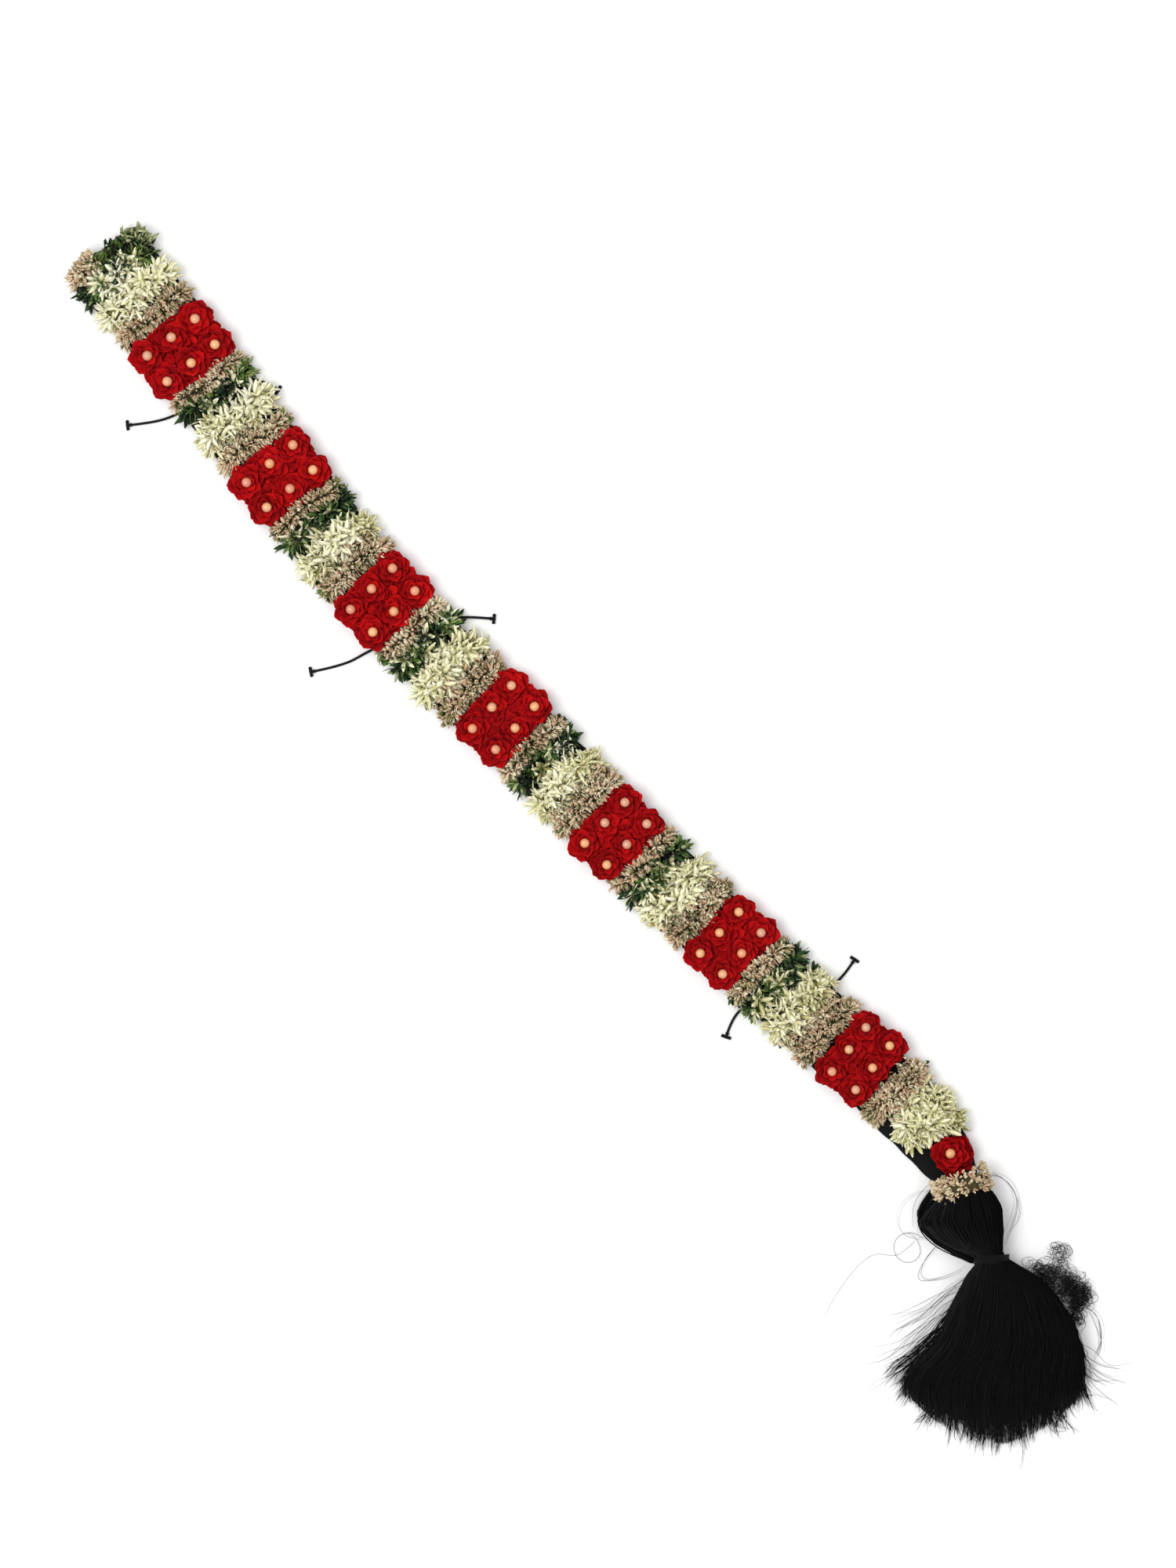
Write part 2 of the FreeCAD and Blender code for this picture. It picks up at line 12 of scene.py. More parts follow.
import bpy
import numpy as np
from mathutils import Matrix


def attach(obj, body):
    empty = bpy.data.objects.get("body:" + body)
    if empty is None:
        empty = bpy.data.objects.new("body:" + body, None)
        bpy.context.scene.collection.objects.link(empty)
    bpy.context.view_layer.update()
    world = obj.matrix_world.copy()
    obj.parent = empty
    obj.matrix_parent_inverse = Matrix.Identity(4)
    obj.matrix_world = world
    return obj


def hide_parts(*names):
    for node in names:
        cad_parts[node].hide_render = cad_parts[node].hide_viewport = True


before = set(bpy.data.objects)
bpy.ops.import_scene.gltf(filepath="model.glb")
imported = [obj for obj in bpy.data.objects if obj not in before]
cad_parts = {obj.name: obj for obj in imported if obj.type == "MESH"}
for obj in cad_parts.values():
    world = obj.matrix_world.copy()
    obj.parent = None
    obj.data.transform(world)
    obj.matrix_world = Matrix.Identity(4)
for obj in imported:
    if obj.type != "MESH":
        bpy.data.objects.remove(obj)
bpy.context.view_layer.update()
scene = bpy.context.scene
MM = 0.001
chance = np.random.default_rng(11)

# %% [markdown]
# ## Camera, floor and light
# The photograph looks straight down on an ornament that lies on a white table, so the camera looks
# down too, turned by 43 degrees, because the strip runs from the top left to the bottom right. It
# stands far away with a long lens, which keeps tall and low parts at one scale.
# One broad lamp gives the petals a soft side, and a white sky fills in the rest.

# %% Camera
PHOTO_MIDDLE, PHOTO_TURN = (0.0101, -0.0526), -43.05
CAMERA_HEIGHT, LONG_LENS = 4.0, 160
camera = bpy.data.objects.new("photo_camera", bpy.data.cameras.new("photo_camera"))
scene.collection.objects.link(camera)
camera.location = (*PHOTO_MIDDLE, CAMERA_HEIGHT)
camera.rotation_euler = (0.0, 0.0, math.radians(PHOTO_TURN))
camera.data.lens = LONG_LENS
print("the camera is", CAMERA_HEIGHT, "m up")
scene.camera = camera
scene.view_settings.view_transform = "Standard"

# %% Floor and light


def plain_material(name, colour, roughness):
    """A material with one Principled shader, and its values set on the shader itself."""
    material = bpy.data.materials.new(name)
    material.use_nodes = True
    shader = material.node_tree.nodes["Principled BSDF"]
    shader.inputs["Base Color"].default_value = (*colour, 1.0)
    shader.inputs["Roughness"].default_value = roughness
    return material


TABLE_EDGES, TABLE_TOP = (-4.0, 4.0), -0.2 * MM
corners = [(x, y, TABLE_TOP) for y in TABLE_EDGES for x in TABLE_EDGES]
floor_mesh = bpy.data.meshes.new("white_table")
floor_mesh.from_pydata(corners, [], [(0, 1, 3, 2)])
floor = bpy.data.objects.new("white_table", floor_mesh)
scene.collection.objects.link(floor)
floor.data.materials.append(plain_material("white_paint", (0.93, 0.93, 0.93), 0.9))

lamp = bpy.data.objects.new("broad_lamp", bpy.data.lights.new("broad_lamp", "AREA"))
scene.collection.objects.link(lamp)
lamp.location = (-0.8, 0.65, 2.6)
lamp.rotation_euler = (math.radians(-14), math.radians(-17), 0.0)
lamp.data.size = 1.6
lamp.data.energy = 40

sky = bpy.data.worlds.new("white_sky")
scene.world = sky
sky.use_nodes = True
sky.node_tree.nodes["Background"].inputs["Color"].default_value = (1.0, 1.0, 1.0, 1.0)
sky.node_tree.nodes["Background"].inputs["Strength"].default_value = 0.92
print("camera, floor and light are up")

# %% [markdown]
# ## Where things sit on the strip
# The strip isn't quite straight: its middle line sways by a centimetre or two. A natural cubic
# curve through a few measured points gives that line, and a ruler along it turns "so far from the
# head end, so far to the side" into a place in the frame. It could be a curve object too, but a
# ruler made of plain numbers serves thousands of petals at once.

# %% The ruler along the strip
SPINE = np.array([
    # y, x and the cloth's half width, in mm, from the head end down
    (360.0, 14.2, 24.5), (281.3, 9.7, 23.5), (191.3, 1.4, 23.0), (87.8, -3.6, 22.5),
    (0.0, 0.0, 22.0), (-101.0, 3.6, 21.8), (-191.0, 8.8, 21.4), (-258.8, 14.2, 21.0),
    (-317.3, 16.6, 20.0), (-345.0, 14.6, 17.0), (-366.0, 10.6, 11.0),
])


def smooth_curve(places, values, wanted):
    """A natural cubic curve through values at places, read where it is wanted."""
    step, slope = np.diff(places), np.diff(values) / np.diff(places)
    count = len(places)
    matrix, right = np.eye(count), np.zeros(count)
    for i in range(1, count - 1):
        matrix[i, i - 1:i + 2] = step[i - 1], 2 * (step[i - 1] + step[i]), step[i]
        right[i] = 6 * (slope[i] - slope[i - 1])
    bend = np.linalg.solve(matrix, right)
    i = np.clip(np.searchsorted(places, wanted) - 1, 0, count - 2)
    after, before = wanted - places[i], places[i + 1] - wanted
    cubic = (bend[i] * before ** 3 + bend[i + 1] * after ** 3) / (6 * step[i])
    left = (values[i] / step[i] - bend[i] * step[i] / 6) * before
    return cubic + left + (values[i + 1] / step[i] - bend[i + 1] * step[i] / 6) * after


chords = np.concatenate([[0.0], np.cumsum(np.hypot(*np.diff(SPINE[:, :2], axis=0).T))])
fine = np.linspace(0.0, chords[-1], 3000)
fine_y, fine_x, fine_half = (smooth_curve(chords, SPINE[:, i], fine) for i in range(3))
fine_down = np.concatenate([[0.0], np.cumsum(np.hypot(np.diff(fine_x), np.diff(fine_y)))])
STRIP_LENGTH = fine_down[-1]
# Everything is sewn to the top of the cloth, SEAT mm up, and gets smaller towards the tail
SEAT, SHRINKS_BY = 3.2, 0.10


def on_strip(down, side, height):
    """Places in mm at distances from the head end, to the side and above the floor."""
    inside = np.clip(down, 0.5, STRIP_LENGTH - 0.5)
    x, y = (np.interp(inside, fine_down, line) for line in (fine_x, fine_y))
    ahead = [np.interp(inside + 0.5, fine_down, line) for line in (fine_x, fine_y)]
    way = np.stack([ahead[0] - x, ahead[1] - y], axis=-1)
    way /= np.linalg.norm(way, axis=-1, keepdims=True)
    past = np.asarray(down) - inside
    return np.stack([
        x + way[..., 0] * past - way[..., 1] * side,
        y + way[..., 1] * past + way[..., 0] * side,
        height + 0.0 * x,
    ], axis=-1)


def taper(down):
    """How much smaller things are at a distance from the head end."""
    return 1.0 - SHRINKS_BY * max(down, 0.0) / STRIP_LENGTH


print("strip length in mm", round(STRIP_LENGTH, 1))

# %% [markdown]
# ## A pile of petals
# Nearly everything here is made of thousands of small closed shapes: petals, leaf tips, buds and
# threads. Each is a tube: a row of small rings along a line, closed at both ends. A pile collects
# the points and faces of many tubes as arrays and becomes one mesh at the end, which is far faster
# than an object for each petal.
# Two numbers are kept at each point for the materials: how far along the petal it is, and the
# petal's own lot, a steady number between 0 and 1 that makes one petal differ from the next.

# %% The pile
triangle_counts = []


def tube_faces(rows, ring):
    """The faces of a closed tube of rings, with a cap at each end."""
    faces = []
    for i in range(rows - 1):
        for j in range(ring):
            k = (j + 1) % ring
            faces.append((i * ring + j, i * ring + k, (i + 1) * ring + k, (i + 1) * ring + j))
    faces.append(tuple(range(ring))[::-1])
    faces.append(tuple((rows - 1) * ring + j for j in range(ring)))
    return faces


class Pile:
    """Many shapes of a few kinds that become one piece. Its points are in mm."""

    def __init__(self):
        self.points, self.corners, self.sizes, self.along, self.lot = [], [], [], [], []
        self.count = 0

    def add(self, points, faces, along, lot):
        """Copies of one kind of shape: points[copy, point, xyz], with their faces and numbers."""
        copies, size = points.shape[:2]
        starts = self.count + size * np.arange(copies)
        for corners in sorted({len(face) for face in faces}):
            group = np.array([face for face in faces if len(face) == corners])
            self.corners.append((starts[:, None, None] + group).ravel())
            self.sizes.append(np.full(copies * len(group), corners))
        self.points.append(points.reshape(-1, 3))
        self.along.append(np.broadcast_to(along, (copies, size)).ravel())
        self.lot.append(np.repeat(np.broadcast_to(lot, copies), size))
        self.count += copies * size

    def piece(self, name, material, replaced=(), lowest=0.3):
        """One smooth mesh of the whole pile, riding on the frame."""
        points = np.concatenate(self.points)
        points[:, 2] = np.maximum(points[:, 2], lowest)
        mesh = bpy.data.meshes.new(name)
        mesh.vertices.add(len(points))
        mesh.vertices.foreach_set("co", (points * MM).ravel())
        corners, sizes = np.concatenate(self.corners), np.concatenate(self.sizes)
        mesh.loops.add(len(corners))
        mesh.loops.foreach_set("vertex_index", corners)
        mesh.polygons.add(len(sizes))
        mesh.polygons.foreach_set("loop_start", np.concatenate([[0], np.cumsum(sizes)[:-1]]))
        mesh.update(calc_edges=True)
        mesh.shade_smooth()
        for word, numbers in (("along", self.along), ("lot", self.lot)):
            layer = mesh.attributes.new(word, "FLOAT", "POINT")
            layer.data.foreach_set("value", np.concatenate(numbers).astype(np.float32))
        mesh.materials.append(material)
        obj = bpy.data.objects.new(name, mesh)
        scene.collection.objects.link(obj)
        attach(obj, "root")
        if replaced:
            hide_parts(*replaced)
        triangle_counts.append(int((sizes - 2).sum()))
        print(name, triangle_counts[-1], "triangles")
        return obj


# %% [markdown]
# ## Petals
# A petal is a flat tube that follows an arc. Its outline is a short table of how wide it is along
# its length. Its section is a ring of corners: three for a small bud with a raised fold, four for a
# petal with a keel, eight for a broad one that is cupped and has a crease. A petal starts at a base,
# grows out in one direction, and bends towards its face or away from it.

# %% Petals and flowers


def unit(vectors):
    """Vectors made one long."""
    return vectors / np.linalg.norm(vectors, axis=-1, keepdims=True)


# The corners of a section: how far across, from -1 to 1, and how far up in thicknesses
SMALL_RING = np.array([(-1.0, -0.2), (1.0, -0.2), (0.0, 0.8)])
KEEL_RING = np.array([(-1.0, 0.15), (0.0, -0.45), (1.0, 0.15), (0.0, 0.6)])
BROAD_RING = np.array([
    (-1.0, 0.0), (-0.55, -0.5), (0.0, -0.5), (0.55, -0.5),
    (1.0, 0.0), (0.55, 0.5), (0.0, 0.5), (-0.55, 0.5),
])


def add_petals(
    pile, base, out, face, length, width, bend, lot, outline, ring, thick, cup=0.0, crease=0.0,
):
    """One petal for each base. outline has rows of (share along, share wide)."""
    share, wide = np.array(outline).T
    bend = np.where(np.abs(bend) < 1e-3, 1e-3, bend)[:, None]
    reach = np.sin(bend * share) / bend * length[:, None]
    rise = (1.0 - np.cos(bend * share)) / bend * length[:, None]
    line = base[:, None] + reach[..., None] * out[:, None] + rise[..., None] * face[:, None]
    turn = (bend * share)[..., None]
    up = np.cos(turn) * face[:, None] - np.sin(turn) * out[:, None]
    side = np.cross(out, face)
    half = 0.5 * width[:, None] * wide
    v, lift = ring.T
    across = half[..., None] * v
    above = half[..., None] * (cup * v ** 2 - crease * (1.0 - np.abs(v)))
    above = above + thick * lift * (0.35 + 0.65 * wide[:, None])
    points = line[:, :, None] + across[..., None] * side[:, None, None]
    points = points + above[..., None] * up[:, :, None]
    along = np.repeat(share, len(ring))
    pile.add(points.reshape(len(base), -1, 3), tube_faces(len(share), len(ring)), along, lot)


def tangents(axis):
    """Two directions at right angles to each axis."""
    helper = np.where(np.abs(axis[:, 2:3]) < 0.8, [[0.0, 0.0, 1.0]], [[1.0, 0.0, 0.0]])
    first = unit(np.cross(axis, helper))
    return first, np.cross(axis, first)


def flower_petals(axis, per_flower, opening, wobble=0.0):
    """The directions and faces of the petals round each axis, opened by an angle in radians."""
    first, second = tangents(axis)
    spin = chance.uniform(0, 2 * math.pi, len(axis))
    ring = spin[:, None] + 2 * math.pi * np.arange(per_flower) / per_flower
    ring = ring + chance.normal(0, wobble, ring.shape)
    side = np.cos(ring)[..., None] * first[:, None] + np.sin(ring)[..., None] * second[:, None]
    opened = (opening[:, None] + chance.normal(0, wobble, ring.shape))[..., None]
    out = axis[:, None] * np.cos(opened) + side * np.sin(opened)
    face = axis[:, None] * np.sin(opened) - side * np.cos(opened)
    return out.reshape(-1, 3), face.reshape(-1, 3)


# %% [markdown]
# ## Shared finishes
# The petals are cut from cloth. Their roots are painted darker, as painted shade where the petals
# crowd together, and their tips are graded lighter.
# One node group grades a petal from root to tip and is used by every kind, each with its own
# colours. A second group gives the fine threads of cloth as a height for the bump, at a scale that
# each material chooses, and a mask of the low places between the threads, where the black cloth is
# painted shade. A third gives the twist of a spun cord or thread.

# %% Node helpers


def new_group(name, inputs, outputs):
    """An empty shader node group with named sockets, and its two end nodes."""
    group = bpy.data.node_groups.new(name, "ShaderNodeTree")
    for word, kind, value in inputs:
        socket = group.interface.new_socket(word, in_out="INPUT", socket_type=kind)
        socket.default_value = value
    for word, kind in outputs:
        group.interface.new_socket(word, in_out="OUTPUT", socket_type=kind)
    return group, group.nodes.new("NodeGroupInput"), group.nodes.new("NodeGroupOutput")


def feed(tree, socket, value):
    """A plain value for a node's input, or a link from another node's output."""
    if isinstance(value, bpy.types.NodeSocket):
        tree.links.new(value, socket)
    else:
        socket.default_value = value


def mix_colours(tree, factor, first, second):
    """A colour Mix node. Each end is a socket or a plain value."""
    node = tree.nodes.new("ShaderNodeMix")
    node.data_type = "RGBA"
    for i, value in ((0, factor), (6, first), (7, second)):
        feed(tree, node.inputs[i], value)
    return node.outputs[2]


def scaled_range(tree, value, low, high, first, last):
    """A smooth Map Range node from low and high to first and last."""
    node = tree.nodes.new("ShaderNodeMapRange")
    node.interpolation_type = "SMOOTHSTEP"
    for i, number in enumerate((value, low, high, first, last)):
        feed(tree, node.inputs[i], number)
    return node.outputs[0]


def math_node(tree, operation, first, second):
    """A Math node with two numbers."""
    node = tree.nodes.new("ShaderNodeMath")
    node.operation = operation
    feed(tree, node.inputs[0], first)
    feed(tree, node.inputs[1], second)
    return node.outputs[0]


def over_the_frame(tree, kind, scale):
    """A texture node that lies over the frame's own coordinates."""
    place, node = tree.nodes.new("ShaderNodeTexCoord"), tree.nodes.new(kind)
    tree.links.new(place.outputs["Object"], node.inputs["Vector"])
    feed(tree, node.inputs["Scale"], scale)
    return node


def object_noise(tree, scale, detail=2.0):
    """Noise at a scale."""
    noise = over_the_frame(tree, "ShaderNodeTexNoise", scale)
    noise.inputs["Detail"].default_value = detail
    return noise.outputs["Fac"]


def thread_wave(tree, scale, direction, distortion, detail_scale=1.0):
    """The bands of fine threads that run in one direction."""
    wave = over_the_frame(tree, "ShaderNodeTexWave", scale)
    wave.bands_direction = direction
    wave.inputs["Distortion"].default_value = distortion
    wave.inputs["Detail Scale"].default_value = detail_scale
    return wave.outputs["Fac"]


# %% The three groups
COLOUR, NUMBER = "NodeSocketColor", "NodeSocketFloat"
petal_shade, given, result = new_group(
    "petal_shade",
    [
        ("Body", COLOUR, (0.8, 0.8, 0.6, 1)), ("Root", COLOUR, (0.2, 0.2, 0.05, 1)),
        ("Tip", COLOUR, (0.9, 0.9, 0.8, 1)), ("Along", NUMBER, 0.5), ("Root Length", NUMBER, 0.4),
        ("Tip Strength", NUMBER, 0.5), ("Blotches", NUMBER, 0.2),
    ],
    [("Colour", COLOUR)],
)
# The Root colour is painted shade: each petal is mixed towards it near its root, where petals crowd
along, root = given.outputs["Along"], given.outputs["Root"]
root_shade_mask = scaled_range(petal_shade, along, 0.0, given.outputs["Root Length"], 1.0, 0.0)
tip_mask = scaled_range(petal_shade, along, 0.65, 1.0, 0.0, given.outputs["Tip Strength"])
graded = mix_colours(petal_shade, tip_mask, given.outputs["Body"], given.outputs["Tip"])
graded = mix_colours(petal_shade, root_shade_mask, graded, root)
blotch = scaled_range(petal_shade, object_noise(petal_shade, 420.0), 0.35, 0.7, 0.0, 1.0)
dim = math_node(petal_shade, "MULTIPLY", blotch, given.outputs["Blotches"])
petal_shade.links.new(mix_colours(petal_shade, dim, graded, root), result.inputs["Colour"])

cloth_threads, given, result = new_group(
    "cloth_threads", [("Threads per Metre", NUMBER, 1500.0)], [("Height", NUMBER), ("Gaps", NUMBER)]
)
warp, weft = (thread_wave(cloth_threads, given.outputs[0], way, 1.2, 0.6) for way in ("X", "Y"))
weave = math_node(cloth_threads, "MAXIMUM", warp, weft)
cloth_threads.links.new(weave, result.inputs["Height"])
# Darker where the weave is low: painted shade between the threads
weave_gap_shade = scaled_range(cloth_threads, weave, 0.1, 0.5, 1.0, 0.0)
cloth_threads.links.new(weave_gap_shade, result.inputs["Gaps"])

spun_thread, given, result = new_group(
    "spun_thread", [("Turns per Metre", NUMBER, 600.0)], [("Height", NUMBER), ("Fluff", NUMBER)]
)
twist = thread_wave(spun_thread, given.outputs[0], "DIAGONAL", 2.0)
spun_thread.links.new(twist, result.inputs["Height"])
spun_thread.links.new(object_noise(spun_thread, 900.0, 3.0), result.inputs["Fluff"])
print("node groups", [group.name for group in bpy.data.node_groups])

# %% [markdown]
# ## Materials
# Each material keeps its own Principled shader and takes its colour from the groups. The lot of a
# petal picks its body colour from a short ramp, so a roll of tan buds holds pink, beige and olive
# ones. Cloth has a soft sheen, the beads have a clear coat over a warm pearl colour with painted
# shade that darkens and reddens their rims, and the yarn is nearly black.

# %% Material helpers


def attribute(tree, word):
    """The number that a pile keeps at each point."""
    node = tree.nodes.new("ShaderNodeAttribute")
    node.attribute_name = word
    return node.outputs["Fac"]


def colour_ramp(tree, factor, stops):
    """A Color Ramp node with (position, colour) stops."""
    node = tree.nodes.new("ShaderNodeValToRGB")
    elements = node.color_ramp.elements
    while len(elements) < len(stops):
        elements.new(0.5)
    for element, (position, colour) in zip(elements, stops):
        element.position = position
        element.color = (*colour, 1.0)
    tree.links.new(factor, node.inputs["Fac"])
    return node.outputs["Color"]


def use_group(tree, group, **values):
    """A copy of a node group in a material. Underscores in the names stand for spaces."""
    node = tree.nodes.new("ShaderNodeGroup")
    node.node_tree = group
    for word, value in values.items():
        feed(tree, node.inputs[word.replace("_", " ")], value)
    return node


def add_bump(tree, shader, height, strength, distance):
    """A Bump node from a height to the shader's normal."""
    node = tree.nodes.new("ShaderNodeBump")
    node.inputs["Strength"].default_value = strength
    node.inputs["Distance"].default_value = distance
    tree.links.new(height, node.inputs["Height"])
    tree.links.new(node.outputs["Normal"], shader.inputs["Normal"])


PETAL_ROUGHNESS, PETAL_THREADS, PETAL_BUMP, THREAD_DEPTH = 0.8, 1800.0, 0.35, 0.1 * MM


def petal_material(
    name, stops, root, tip, root_length, tip_strength, blotches, sheen=0.05, shine=0.2,
):
    """Dyed petal cloth: the lot picks the body colour, the root is painted shade and the tip is lighter."""
    material = plain_material(name, stops[0][1], PETAL_ROUGHNESS)
    tree = material.node_tree
    shader = tree.nodes["Principled BSDF"]
    body = colour_ramp(tree, attribute(tree, "lot"), stops)
    shade = use_group(
        tree, petal_shade, Body=body, Root=(*root, 1), Tip=(*tip, 1), Along=attribute(tree, "along"),
        Root_Length=root_length, Tip_Strength=tip_strength, Blotches=blotches,
    )
    tree.links.new(shade.outputs["Colour"], shader.inputs["Base Color"])
    shader.inputs["Sheen Weight"].default_value = sheen
    shader.inputs["Specular IOR Level"].default_value = shine
    threads = use_group(tree, cloth_threads, Threads_per_Metre=PETAL_THREADS)
    add_bump(tree, shader, threads.outputs["Height"], PETAL_BUMP, THREAD_DEPTH)
    return material


# %% Petal materials
# Each root colour below is painted shade, darker than the body of its petals
cream_cloth = petal_material(
    "cream_jasmine_cloth",
    [
        (0.0, (0.42, 0.38, 0.14)), (0.22, (0.74, 0.70, 0.38)),
        (0.6, (0.90, 0.87, 0.57)), (1.0, (0.95, 0.94, 0.74)),
    ],
    root=(0.30, 0.26, 0.08), tip=(0.95, 0.94, 0.74), root_length=0.5, tip_strength=0.6, blotches=0.10,
)
tan_cloth = petal_material(
    "tan_bud_cloth",
    [
        (0.0, (0.08, 0.08, 0.025)), (0.2, (0.24, 0.22, 0.07)), (0.4, (0.46, 0.34, 0.18)),
        (0.6, (0.64, 0.39, 0.25)), (0.78, (0.76, 0.54, 0.34)), (1.0, (0.90, 0.84, 0.60)),
    ],
    root=(0.07, 0.055, 0.018), tip=(0.84, 0.70, 0.48), root_length=0.45, tip_strength=0.6, blotches=0.2,
)
green_cloth = petal_material(
    "green_leaf_cloth",
    [
        (0.0, (0.003, 0.006, 0.002)), (0.28, (0.008, 0.022, 0.006)), (0.46, (0.022, 0.070, 0.016)),
        (0.64, (0.08, 0.18, 0.022)), (0.80, (0.24, 0.32, 0.08)), (1.0, (0.62, 0.64, 0.36)),
    ],
    root=(0.004, 0.007, 0.003), tip=(0.16, 0.24, 0.08), root_length=0.45, tip_strength=0.3, blotches=0.2,
)
red_cloth = petal_material(
    "red_velvet_cloth",
    [
        (0.0, (0.20, 0.0, 0.001)), (0.4, (0.35, 0.001, 0.003)),
        (0.8, (0.50, 0.002, 0.004)), (1.0, (0.62, 0.007, 0.005)),
    ],
    root=(0.15, 0.0, 0.0), tip=(0.52, 0.003, 0.005), root_length=0.55, tip_strength=0.4, blotches=0.15,
    sheen=0.0, shine=0.12,
)

print("petal cloths", [cloth.name for cloth in (cream_cloth, tan_cloth, green_cloth, red_cloth)])

# %% Cloth, yarn, elastic and bead materials
DARK_SHINE = 0.05


def dark_material(name, low, high, group, scale, roughness, sheen, strength):
    """Black cloth or thread: random fluff in its colour, or painted shade between its woven threads."""
    material = plain_material(name, low, roughness)
    tree = material.node_tree
    shader = tree.nodes["Principled BSDF"]
    threads = use_group(tree, group)
    threads.inputs[0].default_value = scale
    # outputs[1] is painted shade between the threads of cloth, or random fluff on a thread
    colour = mix_colours(tree, threads.outputs[1], (*high, 1), (*low, 1))
    tree.links.new(colour, shader.inputs["Base Color"])
    shader.inputs["Sheen Weight"].default_value = sheen
    shader.inputs["Specular IOR Level"].default_value = DARK_SHINE
    add_bump(tree, shader, threads.outputs["Height"], strength, THREAD_DEPTH)
    return material


DARK = {
    # the dark and the light colour, the threads and their scale, then roughness, sheen and bump
    "black_backing_cloth": ([0.002] * 3, (0.010, 0.010, 0.011), cloth_threads, 900.0, 0.85, 0.05, 0.5),
    "black_yarn": ((0.001, 0.001, 0.0012), (0.003, 0.003, 0.0036), spun_thread, 700.0, 0.6, 0.03, 0.3),
    "black_thread": ([0.002] * 3, (0.006, 0.006, 0.007), spun_thread, 900.0, 0.5, 0.05, 0.4),
    "black_elastic": ((0.003, 0.003, 0.004), (0.016, 0.016, 0.018), spun_thread, 1100.0, 0.7, 0.1, 0.6),
    "crimp_bar_plastic": ((0.004, 0.004, 0.005), (0.010, 0.010, 0.012), spun_thread, 300.0, 0.35, 0.0, 0.1),
}
dark = {name: dark_material(name, *row) for name, row in DARK.items()}

pearl = plain_material("peach_pearl", (0.72, 0.30, 0.13), 0.28)
tree = pearl.node_tree
shader = tree.nodes["Principled BSDF"]
tint = colour_ramp(tree, object_noise(tree, 38.0, 0.0), [
    (0.30, (0.62, 0.23, 0.15)), (0.45, (0.72, 0.30, 0.13)),
    (0.58, (0.76, 0.38, 0.17)), (0.70, (0.60, 0.29, 0.18)),
])
# The rim of each bead is painted darker and redder than its middle, by its angle to the camera: painted
# shade
rim_shade_facing = tree.nodes.new("ShaderNodeLayerWeight")
rim_shade_facing.inputs["Blend"].default_value = 0.35
edge = scaled_range(tree, rim_shade_facing.outputs["Facing"], 0.15, 0.9, 0.0, 0.75)
tree.links.new(mix_colours(tree, edge, tint, (0.50, 0.08, 0.03, 1)), shader.inputs["Base Color"])
shader.inputs["Coat Weight"].default_value = 0.8
shader.inputs["Coat Roughness"].default_value = 0.12
add_bump(tree, shader, object_noise(tree, 260.0), 0.08, 0.2 * MM)
print("materials", len(bpy.data.materials))

# %% [markdown]
# ## The elastic ties
# Three thin elastic cords cross under the strip and stick out at both sides, and each ends in a
# small crimped bar that hooks over the braid. A cord is best made as a smooth curve through a few
# points with a round section, because it bends the way the real one does. The bar is a short
# sleeve and a rounded rod across its end, closed to a mesh with a waist where it is pinched.

# %% Elastic cords
TIES = {
    "head": {
        "left": [(5.6, 256.9), (-8.0, 261.4), (-20.5, 264.2), (-31.0, 269.6), (-40.4, 276.6)],
        "right": [(9.6, 255.5), (22.0, 250.9), (31.2, 246.4), (33.8, 236.4)],
    },
    "middle": {
        "left": [(-4.6, 79.7), (-18.0, 85.1), (-31.0, 89.3), (-45.4, 92.6), (-60.0, 101.6)],
        "right": [(-0.9, 78.2), (11.0, 73.3), (22.4, 68.1), (33.6, 55.4)],
    },
    "tail": {
        "left": [(6.9, -218.3), (-4.0, -211.5), (-16.6, -205.0), (-28.8, -211.5)],
        "right": [(10.4, -220.4), (22.0, -227.6), (35.0, -234.9), (50.6, -231.2)],
    },
}
TIE_DIAMETER, TIE_HEIGHT, BAR_HEIGHT = 1.5, 0.85, 1.2


def elastic_cord(name, route):
    """A smooth cord of round section along a route on the floor."""
    curve = bpy.data.curves.new(name, "CURVE")
    curve.dimensions = "3D"
    spline = curve.splines.new("NURBS")
    spline.points.add(len(route) - 1)
    for point, (x, y) in zip(spline.points, route):
        point.co = (x * MM, y * MM, TIE_HEIGHT * MM, 1.0)
    spline.order_u = 3
    spline.use_endpoint_u = True
    curve.resolution_u = 12
    curve.bevel_depth = TIE_DIAMETER / 2 * MM
    curve.bevel_resolution = 3
    curve.use_fill_caps = True
    curve.materials.append(dark["black_elastic"])
    cord = bpy.data.objects.new(name, curve)
    scene.collection.objects.link(cord)
    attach(cord, "root")
    return cord


# %% Crimped bars


def round_tube(line, radii, ring=12):
    """Points of a tube round a line of places, with a radius at each."""
    line, radii = np.asarray(line, float), np.asarray(radii, float)
    way = unit(np.gradient(line, axis=0))
    first, second = tangents(way)
    angle = 2 * math.pi * np.arange(ring) / ring
    angle = angle[None, :, None]
    circle = np.cos(angle) * first[:, None] + np.sin(angle) * second[:, None]
    return line[:, None] + circle * radii[:, None, None]


